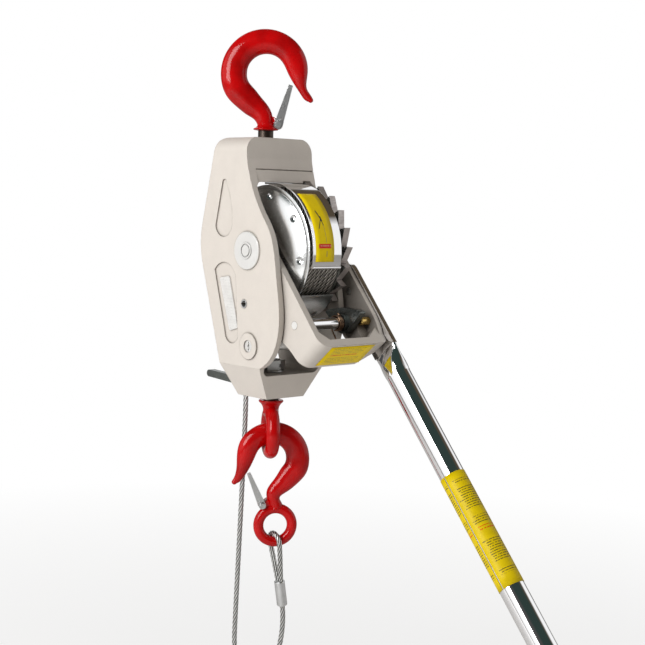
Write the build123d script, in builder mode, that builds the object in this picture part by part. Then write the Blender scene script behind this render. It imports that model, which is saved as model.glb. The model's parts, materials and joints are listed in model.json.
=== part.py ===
"""Hand cable ratchet winch (come-along) with swivel hook, drawn in millimetres.

Origin: the hang point, the highest point inside the bowl of the top hook.
+Z is up, the drum axle lies along X, and the handle points towards -Y.
Heights called "above the axle" are counted from the drum axle's centre.
"""
import os
from math import cos, sin, radians

from build123d import *

# ---------------------------------------------------------------- driving dimensions
AXLE_Y = -28.0            # the axle stands in front of the hook's swivel line
AXLE_Z = -202.0           # hang point down to the axle
FIT = 0.05                # radial running clearance
GAP = 0.3                 # ordinary clearance between neighbours

# frame casting
FRAME_HALF = 44.0         # half of the overall width
PLATE = 6.5               # side plate thickness
FRAME_TOP = 115.0         # above the axle
FRAME_BOTTOM = -152.5
BRIDGE_UNDERSIDE = 83.0
LIP_BOTTOM = 69.6         # the bridge's front lip reaches down in front of the guard
LIP_BACK = 4.2            # its back face, behind the axle's plane
GROOVE_TOP = 82.9
BLOCK_TOP = -127.0
SHOULDER = -118.5         # where the plates turn into the bottom block
BLOCK_FOOT_HALF = 25.0
SWIVEL_R = 8.0            # shanks of the hook and of the anchor eye
ANCHOR_Y = -18.5          # anchor eye shank

# drum
AXLE_R = 8.5
CORE_R = 31.0
WRAP_R = 65.5             # outside of the wound cable
FLANGE_R = 67.0
TOOTH_TIP_R = 71.0
TOOTH_ROOT_R = 62.0
TEETH = 22
TOOTH_CLEARANCE = 0.8     # between the turning teeth and the frame's lip
WHEEL_X = 27.8            # left face of the ratchet wheel
WHEEL_T = 8.0
WRAP_X = -17.2            # left end of the wound cable
CABLE_D = 5.5
TURNS = 8

# handle yoke
SWING = 49.5              # handle's angle below horizontal
ARM_LEFT_X = -36.6        # outer face of the left arm
ARM_LEFT_T = 7.0
ARM_RIGHT_X = 54.6        # outer face of the right arm
ARM_RIGHT_T = 5.4
YOKE_END = 136.0          # axle to the yoke's end wall
RIM = 23.0                # rim of the yoke above the axle line
RIM_RIGHT = 27.2          # the right arm stands higher, beside the handle
TUBE_R = 12.7
TUBE_X = 57.6
TUBE_UP = 13.0            # tube's offset above the axle line
HANDLE_END = 560.0        # axle to the end of the handle

# pawls: place in the plane of the wheel, along and above the arm direction
PAWL_AT = (97.0, 4.4)
PAWL_SHAFT_R = 6.25
HOLDING_ANGLE = 89.5      # the frame's pawl sits under the wheel

# hooks
TOP_TURN = 42.0           # how far each hook's plane is turned about Z
LOWER_TURN = 32.0
BOWL_THROAT = 21.9        # inside height of the top hook's bowl above its centre
NECK_DROP = 54.4          # bowl centre down to the top hook's collar
LOWER_BOWL_SIDE = 3.0     # its centre stands beside the anchor's line
EYE_BAR_R = 7.2
EYE_RING_R = 21.2

os.makedirs("parts", exist_ok=True)


# ---------------------------------------------------------------- planes and helpers
def side_plane(x):
    """Plane across the axle at x; local axes are back and up from the axle."""
    return Plane(origin=(x, AXLE_Y, AXLE_Z), x_dir=(0, 1, 0), z_dir=(1, 0, 0))


def arm_plane(x, angle=SWING):
    """Plane across the axle at x; local axes are along and above an arm that hangs at
    angle below horizontal. Extruding goes towards -X."""
    along = (0, -cos(radians(angle)), -sin(radians(angle)))
    return Plane(origin=(x, AXLE_Y, AXLE_Z), x_dir=along, z_dir=(-1, 0, 0))


def level(height):
    """Horizontal plane at a height above the axle."""
    return Plane.XY.offset(AXLE_Z + height)


def hook_plane(turn, y=0.0, z=0.0):
    """Upright plane through (0, y, z) turned about Z; local axes are sideways and up."""
    side = (cos(radians(turn)), -sin(radians(turn)), 0)
    face = (-sin(radians(turn)), -cos(radians(turn)), 0)
    return Plane(origin=(0, y, z), x_dir=side, z_dir=face)


def under_arm(along, above, angle):
    """Turn arm_plane coordinates into side_plane coordinates."""
    back = -(along * cos(radians(angle)) + above * sin(radians(angle)))
    up = -along * sin(radians(angle)) + above * cos(radians(angle))
    return (back, up)


def polar(radius, angle):
    """Point at an angle above the forward direction, in side_plane axes."""
    return (-radius * cos(radians(angle)), radius * sin(radians(angle)))


def save(part, label):
    part.label = label
    export_step(part, f"parts/{label}.step")


# ---------------------------------------------------------------- frame
# outline of the side plates and the bottom block, seen along X
BACK_CORNER = (80.8, 4.0)
with BuildSketch() as side_outline:
    with BuildLine():
        Spline(
            (4, 94), (-2.5, 71), (-20, 39), (-34, 20),
            (-45.5, -24.5), (-51.5, -66), (-47, -93), (-23, SHOULDER),
        )
        Polyline((-23, SHOULDER), (-13, FRAME_BOTTOM), (33.4, FRAME_BOTTOM), (42, SHOULDER), BACK_CORNER)
        Polyline(BACK_CORNER, (54.5, FRAME_TOP), (5.5, FRAME_TOP), (4, 94))
    make_face()
    fillet(vertices().sort_by_distance(BACK_CORNER)[0], radius=80)
    fillet(vertices().sort_by_distance((54.5, FRAME_TOP))[0], radius=7)


# outline of the whole casting seen along Y: round shoulders, tapering foot
with BuildSketch() as front_outline:
    with BuildLine():
        Polyline(
            (-FRAME_HALF, SHOULDER), (-BLOCK_FOOT_HALF, FRAME_BOTTOM),
            (BLOCK_FOOT_HALF, FRAME_BOTTOM), (FRAME_HALF, SHOULDER),
            (FRAME_HALF, FRAME_TOP), (-FRAME_HALF, FRAME_TOP), (-FRAME_HALF, SHOULDER),
        )
    make_face()
    fillet(vertices().group_by(Axis.Y)[-1], radius=15)


LOWER_BOSS = under_arm(*PAWL_AT, HOLDING_ANGLE)   # holding pawl shaft, back and up
STOP_PIN = (3.9, -54.5)
LEVER_PIVOT = (27.0, -140.0)
LEVER_X = -18.5
PLATE_FACE = FRAME_HALF - PLATE
GUARD_SCREWS = ((-10, AXLE_Y + 9.9), (10, AXLE_Y + 9.9))

with BuildPart() as frame_casting:
    with BuildSketch(side_plane(-FRAME_HALF)):
        add(side_outline.sketch)
    extrude(amount=2 * FRAME_HALF)
    with BuildSketch(Plane(origin=(0, 60, AXLE_Z), x_dir=(1, 0, 0), z_dir=(0, -1, 0))):
        add(front_outline.sketch)
    extrude(amount=140, mode=Mode.INTERSECT)
    # the opening for the drum, right through from front to back, taller behind the lip
    for top, foot, depth in ((LIP_BOTTOM, BLOCK_TOP, 220), (BRIDGE_UNDERSIDE, 40, 90 - AXLE_Y - LIP_BACK)):
        with BuildSketch(Plane(origin=(0, 90, AXLE_Z), x_dir=(1, 0, 0), z_dir=(0, -1, 0))):
            with Locations((0, (top + foot) / 2)):
                RectangleRounded(2 * PLATE_FACE, top - foot, 7)
        extrude(amount=depth, mode=Mode.SUBTRACT)
    # shallow recesses on the outside of each plate
    for face_x, inward in ((-FRAME_HALF, 1), (FRAME_HALF, -1)):
        with BuildSketch(side_plane(face_x)):
            with BuildLine():
                Line((43, 70), (53.5, 24))
                ThreePointArc((53.5, 24), (44, 13), (26, 27))
                Spline((26, 27), (28, 48), (36, 68))
                ThreePointArc((36, 68), (39.6, 72), (43, 70))
            make_face()
            with BuildLine():
                Line((53.4, -22), (34.5, -86))
                ThreePointArc((34.5, -86), (25, -96.5), (13, -90))
                Line((13, -90), (18, -30))
                ThreePointArc((18, -30), (36, -13.5), (53.4, -22))
            make_face()
        extrude(amount=1.3 * inward, mode=Mode.SUBTRACT)
    # the lip's face lies a little behind the brow, with a groove along its top
    with BuildSketch(side_plane(-34)):
        with BuildLine():
            Polyline((-12, 60), (-12, GROOVE_TOP), (2.3, GROOVE_TOP), (2.1, GROOVE_TOP - 0.9))
            Polyline((2.1, GROOVE_TOP - 0.9), (1.3, GROOVE_TOP - 0.9), (-3.2, 66), (-12, 60))
        make_face()
    extrude(amount=34 + FRAME_HALF, mode=Mode.SUBTRACT)
    # the lip is hollowed out where the ratchet teeth pass it
    with BuildSketch(side_plane(WHEEL_X - TOOTH_CLEARANCE)):
        Circle(TOOTH_TIP_R + TOOTH_CLEARANCE)
    extrude(amount=PLATE_FACE - WHEEL_X + TOOTH_CLEARANCE, mode=Mode.SUBTRACT)
    # raised bosses for the holding pawl shaft
    for face_x, outward in ((-FRAME_HALF, -1), (FRAME_HALF - 1.6, 1)):
        with BuildSketch(side_plane(face_x)):
            with Locations(LOWER_BOSS):
                Circle(13.4)
        extrude(amount=1.6 * outward)
    # bores along the axle direction
    for centre, radius in (((0, 0), AXLE_R + FIT), (LOWER_BOSS, PAWL_SHAFT_R + FIT)):
        with BuildSketch(side_plane(-60)):
            with Locations(centre):
                Circle(radius)
        extrude(amount=120, mode=Mode.SUBTRACT)
    with BuildSketch(side_plane(-60)):
        with Locations(STOP_PIN):
            Circle(4.6)
    extrude(amount=30, mode=Mode.SUBTRACT)
    # vertical swivel bores
    with BuildSketch(level(FRAME_TOP + 5)):
        Circle(SWIVEL_R + FIT)
    extrude(amount=-45, mode=Mode.SUBTRACT)
    with BuildSketch(level(FRAME_BOTTOM - 5)):
        with Locations((0, ANCHOR_Y)):
            Circle(SWIVEL_R + FIT)
    extrude(amount=45, mode=Mode.SUBTRACT)
    # slot for the reverse lever, and its pivot bore
    with BuildSketch(side_plane(LEVER_X - 4.8)):
        with BuildLine():
            Polyline((3.5, -120), (60, -120), (60, -160), (24, -160), (13, -143), (3.5, -128), (3.5, -120))
        make_face()
    extrude(amount=9.6, mode=Mode.SUBTRACT)
    with BuildSketch(side_plane(LEVER_X - 10)):
        with Locations(LEVER_PIVOT):
            Circle(2.5 + FIT)
    extrude(amount=20, mode=Mode.SUBTRACT)
    # tapped holes for the guard screws
    with BuildSketch(level(BRIDGE_UNDERSIDE)):
        with Locations(*GUARD_SCREWS):
            Circle(2.0 + FIT)
    extrude(amount=8, mode=Mode.SUBTRACT)
save(frame_casting.part, "frame_casting")

with BuildPart() as nameplate:
    with BuildSketch(side_plane(-FRAME_HALF + 1.3 - FIT)):
        with BuildLine():
            Polyline((45, -30), (29, -27.5), (13.5, -80), (27, -84), (45, -30))
        make_face()
        fillet(vertices(), radius=2.5)
    extrude(amount=-1.1)
save(nameplate.part, "nameplate")


# ---------------------------------------------------------------- axle
AXLE_LEFT = -FRAME_HALF - 3.0
AXLE_RIGHT = ARM_RIGHT_X + 5.0

with BuildPart() as drum_axle:
    with BuildSketch(side_plane(AXLE_LEFT)):
        Circle(AXLE_R)
    extrude(amount=AXLE_RIGHT - AXLE_LEFT)
    with BuildSketch(side_plane(AXLE_LEFT)):
        Circle(7.0)
        Circle(5.6, mode=Mode.SUBTRACT)
    extrude(amount=1.0, mode=Mode.SUBTRACT)
    with BuildSketch(side_plane(AXLE_RIGHT - 2.8)):
        Circle(AXLE_R + 1)
        Circle(AXLE_R - 1, mode=Mode.SUBTRACT)
    extrude(amount=1.6, mode=Mode.SUBTRACT)
save(drum_axle.part, "drum_axle")

with BuildPart() as axle_washer:
    with BuildSketch(side_plane(-FRAME_HALF - 2.05)):
        Circle(19.4)
        Circle(AXLE_R + FIT, mode=Mode.SUBTRACT)
    extrude(amount=2.0)
    chamfer(edges().group_by(Axis.X)[0].sort_by(SortBy.RADIUS)[-1], length=0.6)
save(axle_washer.part, "axle_washer")

with BuildPart() as end_washer:
    with BuildSketch(side_plane(ARM_RIGHT_X + 0.1)):
        Circle(16)
        Circle(AXLE_R + FIT, mode=Mode.SUBTRACT)
    extrude(amount=1.8)
save(end_washer.part, "end_washer")

with BuildPart() as retaining_ring:
    with BuildSketch(side_plane(AXLE_RIGHT - 2.7)):
        Circle(11.2)
        Circle(AXLE_R - 0.9, mode=Mode.SUBTRACT)
        with Locations((11, 0)):
            Rectangle(10, 6, mode=Mode.SUBTRACT)
    extrude(amount=1.4)
save(retaining_ring.part, "retaining_ring")

with BuildPart() as stop_pin:
    with BuildSketch(side_plane(-FRAME_HALF - 0.4)):
        with Locations(STOP_PIN):
            Circle(4.55)
            Circle(3.1, mode=Mode.SUBTRACT)
        with Locations((STOP_PIN[0] + 4, STOP_PIN[1])):
            Rectangle(5, 1.2, mode=Mode.SUBTRACT)
    extrude(amount=PLATE + 0.2)
save(stop_pin.part, "stop_pin")


# ---------------------------------------------------------------- drum
WHEEL_BACK = WHEEL_X + WHEEL_T
BUSH_R = 11.0

with BuildPart() as drum_bush:
    with BuildSketch(side_plane(-27)):
        Circle(BUSH_R)
        Circle(AXLE_R + FIT, mode=Mode.SUBTRACT)
    extrude(amount=WHEEL_BACK + 0.8 + 27)
save(drum_bush.part, "drum_bush")

with BuildPart() as drum_spool:
    with BuildSketch(side_plane(WRAP_X)):
        Circle(CORE_R)
        Circle(BUSH_R + FIT, mode=Mode.SUBTRACT)
    extrude(amount=WHEEL_X - GAP / 3 - WRAP_X)
save(drum_spool.part, "drum_spool")

# pressed, dished flange: the profile is revolved about the axle
with BuildPart() as drum_flange:
    with BuildSketch(Plane(origin=(0, AXLE_Y, AXLE_Z), x_dir=(1, 0, 0), z_dir=(0, -1, 0))):
        with BuildLine():
            Spline((-19.8, 62), (-22.4, 57), (-25.6, 44), (-26.6, 26), (-26.6, BUSH_R + FIT))
            Line((-26.6, BUSH_R + FIT), (-17.4, BUSH_R + FIT))
            Polyline((-17.4, BUSH_R + FIT), (-17.4, FLANGE_R - 0.8))
            ThreePointArc((-17.4, FLANGE_R - 0.8), (-18.4, FLANGE_R), (-19.4, FLANGE_R - 0.8))
            Polyline((-19.4, FLANGE_R - 0.8), (-19.8, 62))
        make_face()
    revolve(axis=Axis((0, AXLE_Y, AXLE_Z), (1, 0, 0)))
    with Locations(side_plane(-24.4)):
        with PolarLocations(57, 8, start_angle=8):
            Sphere(4.6, mode=Mode.SUBTRACT)
    # a shallow ring groove inside the rim
    with BuildSketch(side_plane(-21.5)):
        Circle(64.2)
        Circle(62.8, mode=Mode.SUBTRACT)
    extrude(amount=2.3, mode=Mode.SUBTRACT)
save(drum_flange.part, "drum_flange")

with BuildPart() as cable_wraps:
    with BuildSketch(Plane(origin=(0, AXLE_Y, AXLE_Z), x_dir=(1, 0, 0), z_dir=(0, -1, 0))):
        with BuildLine():
            pitch = (WHEEL_X - GAP - WRAP_X) / TURNS
            valley = WRAP_R - CABLE_D / 2
            for turn in range(TURNS):
                start = WRAP_X + turn * pitch
                ThreePointArc((start, valley), (start + pitch / 2, WRAP_R), (start + pitch, valley))
            end = WRAP_X + TURNS * pitch
            Polyline((end, valley), (end, CORE_R + FIT), (WRAP_X, CORE_R + FIT), (WRAP_X, valley))
        make_face()
    revolve(axis=Axis((0, AXLE_Y, AXLE_Z), (1, 0, 0)))
save(cable_wraps.part, "cable_wraps")

with BuildPart() as ratchet_wheel:
    with BuildSketch(side_plane(WHEEL_X)):
        with BuildLine():
            pitch_angle = 360 / TEETH
            first = 4.8
            for tooth in range(TEETH):
                tip = first + tooth * pitch_angle
                Line(polar(TOOTH_TIP_R, tip), polar(TOOTH_ROOT_R, tip - pitch_angle + 1.2))
                Line(polar(TOOTH_ROOT_R, tip - pitch_angle + 1.2), polar(TOOTH_TIP_R, tip - pitch_angle))
        make_face()
        Circle(BUSH_R + FIT, mode=Mode.SUBTRACT)
        with PolarLocations(22, 6):
            Circle(3.0 + FIT, mode=Mode.SUBTRACT)
    extrude(amount=WHEEL_T)
save(ratchet_wheel.part, "ratchet_wheel")

with BuildPart() as drum_rivets:
    for shaft_angle in range(0, 360, 60):
        at = polar(22, shaft_angle)
        with BuildSketch(side_plane(WHEEL_X + FIT)):
            with Locations(at):
                Circle(3.0)
        extrude(amount=WHEEL_T)
        with BuildSketch(side_plane(WHEEL_BACK + FIT)):
            with Locations(at):
                Circle(4.5)
        extrude(amount=0.9, taper=25)
save(drum_rivets.part, "drum_rivets")


# ---------------------------------------------------------------- guards
GUARD_R = 70.8
GUARD_T = 1.2
GUARD_X = (-18.0, 19.5)

with BuildPart() as drum_guard:
    with BuildSketch(side_plane(GUARD_X[0])):
        with BuildLine():
            low, high = -11.5, 62.0
            ThreePointArc(polar(GUARD_R, low), polar(GUARD_R, 25), polar(GUARD_R, high))
            ThreePointArc(polar(GUARD_R, high), (-18, 67.2), (-3, 68.2))
            Polyline((-3, 68.2), (5.4, 68.2), (5.4, BRIDGE_UNDERSIDE - 0.7), (14, BRIDGE_UNDERSIDE - 0.7))
        trace(line_width=GUARD_T)
        # rolled hem along the lower edge
        with Locations(polar(GUARD_R + 0.3, low)):
            Circle(1.5)
    extrude(amount=GUARD_X[1] - GUARD_X[0])
    with BuildSketch(level(BRIDGE_UNDERSIDE + 2)):
        with Locations(*GUARD_SCREWS):
            Circle(2.0 + FIT)
    extrude(amount=-8, mode=Mode.SUBTRACT)
save(drum_guard.part, "drum_guard")

with BuildPart() as guard_screws:
    for screw in GUARD_SCREWS:
        with BuildSketch(level(BRIDGE_UNDERSIDE - GUARD_T - 0.2)):
            with Locations(screw):
                Circle(2.0)
        extrude(amount=7)
        with BuildSketch(level(BRIDGE_UNDERSIDE - GUARD_T - 0.2)):
            with Locations(screw):
                Circle(3.6)
        extrude(amount=-2.2, taper=20)
save(guard_screws.part, "guard_screws")

with BuildPart() as lower_guard:
    with BuildSketch(side_plane(-8)):
        with BuildLine():
            ThreePointArc(polar(72, -60), polar(72, -90), polar(72, -115))
            Polyline(polar(72, -115), (35.5, -78), (35.5, BLOCK_TOP + 0.8), (41, BLOCK_TOP + 0.8))
        trace(line_width=1.4)
    extrude(amount=32)
    with BuildSketch(side_plane(-18)):
        with BuildLine():
            ThreePointArc(polar(72, -62), polar(72, -80), polar(72, -96))
            Spline(polar(72, -62), polar(71, -50), polar(69.6, -38))
        trace(line_width=1.4)
    extrude(amount=43)
    # a notch beside the wheel, in the edge that faces the handle
    with BuildSketch(side_plane(14)):
        with Locations(polar(72, -62)):
            Rectangle(9, 12)
    extrude(amount=6, mode=Mode.SUBTRACT)
    with BuildSketch(level(BLOCK_TOP + 3)):
        with Locations((6, AXLE_Y + 38.6), (18, AXLE_Y + 38.6)):
            Circle(1.6 + FIT)
    extrude(amount=-8, mode=Mode.SUBTRACT)
save(lower_guard.part, "lower_guard")


# ---------------------------------------------------------------- handle yoke
ARM_LEFT_IN = ARM_LEFT_X + ARM_LEFT_T
ARM_RIGHT_IN = ARM_RIGHT_X - ARM_RIGHT_T
END_WALL = YOKE_END - 8   # inner face of the end wall
HUB_R = 21.0
ARM_BORE_R = 10.5


with BuildPart() as yoke_casting:
    with BuildSketch(arm_plane(ARM_RIGHT_X)):
        with BuildLine():
            ThreePointArc((0, RIM), (-HUB_R, 0), (2, -HUB_R))
            Polyline((2, -HUB_R), (98, -21.5))
            Spline((98, -21.5), (116, -16), (YOKE_END, -14))
            Polyline((YOKE_END, -14), (YOKE_END, RIM), (0, RIM))
        make_face()
    extrude(amount=ARM_RIGHT_X - ARM_LEFT_X)
    # hollow it: open at the rim, at the back near the drum, and right through to the axle
    with BuildSketch(arm_plane(ARM_RIGHT_IN)):
        with BuildLine():
            Polyline((-40, 60), (END_WALL, 60), (END_WALL, -7), (108, -9))
            Polyline((108, -9), (108, -60), (-40, -60), (-40, 60))
        make_face()
        fillet(vertices().filter_by_position(Axis.X, 107, YOKE_END), radius=4)
    extrude(amount=ARM_RIGHT_IN - ARM_LEFT_IN, mode=Mode.SUBTRACT)
    # bosses: axle hubs are the arms' round ends, pawl shaft boss beside the pawl
    with BuildSketch(arm_plane(ARM_RIGHT_IN + 1)):
        with Locations(PAWL_AT):
            Circle(11)
        with BuildLine():
            Polyline((97, -6.6), (YOKE_END - 5, -7.5), (YOKE_END - 5, 9), (97, 12.2), (97, -6.6))
        make_face()
    extrude(amount=ARM_RIGHT_IN + 1 - (WHEEL_BACK + 1.2))
    # round the two upright corners of the end wall
    for face_x, round_r in ((ARM_LEFT_X, 13), (ARM_RIGHT_X, 6)):
        corner = arm_plane(face_x).from_local_coords(Vector(YOKE_END, 4, 0))
        upright = edges().filter_by_position(Axis.X, face_x - 0.01, face_x + 0.01)
        fillet(upright.sort_by_distance(corner)[0], radius=round_r)
    # the right arm's raised rim falls away to the end wall
    with BuildSketch(arm_plane(ARM_RIGHT_X)):
        with BuildLine():
            Spline((3, RIM - 0.4), (20, 26.3), (42, RIM_RIGHT))
            Line((42, RIM_RIGHT), (100, RIM_RIGHT))
            Spline((100, RIM_RIGHT), (116, 25.8), (127, RIM - 0.6))
            Polyline((127, RIM - 0.6), (127, 12), (3, 12), (3, RIM - 0.4))
        make_face()
    extrude(amount=ARM_RIGHT_T)
    # webs across the pocket's two inner corners
    corner_origin = arm_plane(0).from_local_coords(Vector(0, -8, 0))
    with BuildSketch(Plane(origin=corner_origin, x_dir=(1, 0, 0), z_dir=arm_plane(0).y_dir)):
        for wall, width, reach in ((ARM_LEFT_IN, 9.5, 9.5), (ARM_RIGHT_IN, -16, 12)):
            with BuildLine():
                Polyline(
                    (wall, -END_WALL), (wall + width, -END_WALL),
                    (wall, reach - END_WALL), (wall, -END_WALL),
                )
            make_face()
    extrude(amount=RIM + 8)
    # the back corner under the handle is cut away on a slant
    cut_origin = arm_plane(0).from_local_coords(Vector(YOKE_END + 5, -40, 0))
    with BuildSketch(Plane(origin=cut_origin, x_dir=(1, 0, 0), z_dir=arm_plane(0).x_dir)):
        with BuildLine():
            Polyline((36, 15), (36, 26), (ARM_RIGHT_X - 1.5, 52), (80, 52), (80, 15), (36, 15))
        make_face()
    extrude(amount=-34, mode=Mode.SUBTRACT)
    # bores
    for centre, radius in (((0, 0), ARM_BORE_R + FIT), (PAWL_AT, 4.0 + FIT)):
        with BuildSketch(arm_plane(80)):
            with Locations(centre):
                Circle(radius)
        extrude(amount=160, mode=Mode.SUBTRACT)
    with BuildSketch(arm_plane(ARM_RIGHT_X + 1)):
        with Locations((64, TUBE_UP), (108, TUBE_UP)):
            Circle(4.0 + FIT)
    extrude(amount=ARM_RIGHT_T + 2, mode=Mode.SUBTRACT)
save(yoke_casting.part, "yoke_casting")

with BuildPart() as yoke_bushes:
    for face_x, width in ((ARM_LEFT_X + 0.4, ARM_LEFT_T - 0.8), (ARM_RIGHT_IN + 0.4, ARM_RIGHT_T - 0.8)):
        with BuildSketch(side_plane(face_x)):
            Circle(ARM_BORE_R)
            Circle(AXLE_R + FIT, mode=Mode.SUBTRACT)
        extrude(amount=width)
save(yoke_bushes.part, "yoke_bushes")


# ---------------------------------------------------------------- handle tube
FLAT_T = 5.2
FLAT_HALF = 16.4
FLAT_START = 32.0
FLAT_STOP = 140.0
ROUND_START = 170.0
BOLTS_AT = (64.0, 108.0)
TUBE_WALL = 1.8


def across_tube(distance):
    """Plane square to the tube; local axes are X and the direction above the arm."""
    plane = arm_plane(TUBE_X)
    origin = plane.from_local_coords(Vector(distance, TUBE_UP, 0))
    return Plane(origin=origin, x_dir=(1, 0, 0), z_dir=plane.x_dir)


with BuildPart() as handle_tube:
    with BuildSketch(arm_plane(TUBE_X + FLAT_T / 2)):
        with Locations((FLAT_STOP, TUBE_UP)):
            Rectangle(2 * (FLAT_STOP - FLAT_START), 2 * FLAT_HALF)
        with Locations((FLAT_STOP + 60, TUBE_UP)):
            Rectangle(120, 4 * FLAT_HALF, mode=Mode.SUBTRACT)
        fillet(vertices().group_by(Axis.X)[0], radius=FLAT_HALF - 1)
        with Locations(*[(bolt, TUBE_UP) for bolt in BOLTS_AT]):
            Circle(4.0 + FIT, mode=Mode.SUBTRACT)
    extrude(amount=FLAT_T)
    # the flattened end swells back into the round tube
    with BuildSketch(across_tube(FLAT_STOP)):
        SlotOverall(2 * FLAT_HALF, FLAT_T, rotation=90)
    with BuildSketch(across_tube((FLAT_STOP + ROUND_START) / 2)):
        Ellipse(10.2, 14.7)
    with BuildSketch(across_tube(ROUND_START)):
        Circle(TUBE_R)
    loft()
    with BuildSketch(across_tube(ROUND_START)):
        Circle(TUBE_R)
    extrude(amount=HANDLE_END - ROUND_START)
    with BuildSketch(across_tube(ROUND_START + 8)):
        Circle(TUBE_R - TUBE_WALL)
    extrude(amount=HANDLE_END, mode=Mode.SUBTRACT)
save(handle_tube.part, "handle_tube")

with BuildPart() as handle_end_cap:
    with BuildSketch(across_tube(HANDLE_END - 24)):
        Circle(TUBE_R - TUBE_WALL - FIT)
        Circle(TUBE_R - TUBE_WALL - 2.4, mode=Mode.SUBTRACT)
    extrude(amount=24 + 2 * FIT)
    with BuildSketch(across_tube(HANDLE_END + FIT)):
        Circle(TUBE_R + 1.4)
    extrude(amount=5)
    end_face = faces().sort_by(Axis((0, 0, 0), across_tube(0).z_dir))[-1]
    fillet(end_face.edges(), radius=3)
save(handle_end_cap.part, "handle_end_cap")

with BuildPart() as handle_bolts:
    with BuildSketch(arm_plane(TUBE_X + 16)):
        with Locations(*[(bolt, TUBE_UP) for bolt in BOLTS_AT]):
            Circle(4.0)
    extrude(amount=TUBE_X + 16 - ARM_RIGHT_IN - 0.4)
save(handle_bolts.part, "handle_bolts")

NUT_X = TUBE_X + FLAT_T / 2 + 1.8

with BuildPart() as handle_washers:
    with BuildSketch(arm_plane(NUT_X - 0.1)):
        with Locations(*[(bolt, TUBE_UP) for bolt in BOLTS_AT]):
            Circle(8.0)
            Circle(4.0 + FIT, mode=Mode.SUBTRACT)
    extrude(amount=1.5)
save(handle_washers.part, "handle_washers")

with BuildPart() as handle_nuts:
    with BuildSketch(arm_plane(NUT_X + 6.8)):
        with Locations(*[(bolt, TUBE_UP) for bolt in BOLTS_AT]):
            RegularPolygon(radius=7.4, side_count=6)
            Circle(4.0 + FIT, mode=Mode.SUBTRACT)
    extrude(amount=6.6)
save(handle_nuts.part, "handle_nuts")


# ---------------------------------------------------------------- pawls
PAWL_T = 7.4
PAWL_LEFT = WHEEL_X + 0.2
PAWL_HUB_R = 11.0

# outline shared by both pawls: hub, hooked nose towards the wheel, tail for the finger
with BuildSketch() as pawl_outline:
    with Locations(PAWL_AT):
        Circle(PAWL_HUB_R)
    with BuildLine():
        Polyline(
            (73.4, -9.2), (73.8, -4.0), (84, 13), (99, 29.5), (104.5, 33.5),
            (108.2, 11), (107.5, 0), (96.5, -6.4), (73.4, -9.2),
        )
    make_face()
    fillet(vertices().sort_by_distance((104.5, 33.5))[0], radius=1.4)
    with Locations(PAWL_AT):
        Circle(PAWL_SHAFT_R + FIT, mode=Mode.SUBTRACT)


def shaft_spring(plane, inner, wire, turns):
    """Closely wound torsion spring as a ribbed sleeve, axis along the plane's normal."""
    middle = inner + wire / 2
    with BuildPart() as spring:
        with BuildSketch(Plane(origin=plane.origin, x_dir=plane.z_dir, z_dir=plane.x_dir)):
            with BuildLine():
                for turn in range(turns):
                    start = turn * wire
                    ThreePointArc((start, middle), (start + wire / 2, inner + wire), (start + wire, middle))
                length = turns * wire
                Polyline((length, middle), (length, inner), (0, inner), (0, middle))
            make_face()
        revolve(axis=Axis(plane.origin, plane.z_dir))
    return spring.part


with BuildPart() as operating_pawl:
    with BuildSketch(arm_plane(PAWL_LEFT + PAWL_T)):
        add(pawl_outline.sketch)
    extrude(amount=PAWL_T)
    with BuildSketch(arm_plane(PAWL_LEFT)):
        with Locations(PAWL_AT):
            Circle(9.0)
            Circle(PAWL_SHAFT_R + FIT, mode=Mode.SUBTRACT)
    extrude(amount=3.5)
save(operating_pawl.part, "operating_pawl")

SPRING_WIRE = 1.8
pawl_spot = arm_plane(PAWL_LEFT - 4).from_local_coords(Vector(PAWL_AT[0], PAWL_AT[1], 0))
spring_plane = Plane(origin=pawl_spot, x_dir=arm_plane(0).x_dir, z_dir=(-1, 0, 0))
with BuildPart() as operating_pawl_spring:
    add(shaft_spring(spring_plane, PAWL_SHAFT_R + GAP, SPRING_WIRE, 4))
    # one leg rests on the yoke's floor
    with BuildSketch(arm_plane(PAWL_LEFT - 4 - 3 * SPRING_WIRE)):
        with Locations((PAWL_AT[0] + 14, PAWL_AT[1] - 8.8)):
            Rectangle(24, SPRING_WIRE, rotation=-8)
    extrude(amount=SPRING_WIRE)
save(operating_pawl_spring.part, "operating_pawl_spring")

with BuildPart() as operating_pawl_shaft:
    with BuildSketch(arm_plane(WHEEL_BACK + 1.1)):
        with Locations(PAWL_AT):
            Circle(PAWL_SHAFT_R)
    extrude(amount=WHEEL_BACK + 1.1 - ARM_LEFT_IN - 0.1)
    with BuildSketch(arm_plane(ARM_RIGHT_X - 0.2)):
        with Locations(PAWL_AT):
            Circle(4.0)
    extrude(amount=ARM_RIGHT_X - ARM_LEFT_X)
save(operating_pawl_shaft.part, "operating_pawl_shaft")

with BuildPart() as detent_plunger:
    with BuildSketch(arm_plane(ARM_RIGHT_IN - 0.1)):
        with Locations((105, 17.5)):
            Circle(4.2)
    extrude(amount=ARM_RIGHT_IN - 0.1 - WHEEL_BACK - 1.4)
    chamfer(edges().group_by(Axis.X)[0], length=1)
save(detent_plunger.part, "detent_plunger")

with BuildPart() as holding_pawl:
    with BuildSketch(arm_plane(PAWL_LEFT + PAWL_T, HOLDING_ANGLE)):
        add(pawl_outline.sketch)
    extrude(amount=PAWL_T)
save(holding_pawl.part, "holding_pawl")

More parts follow.
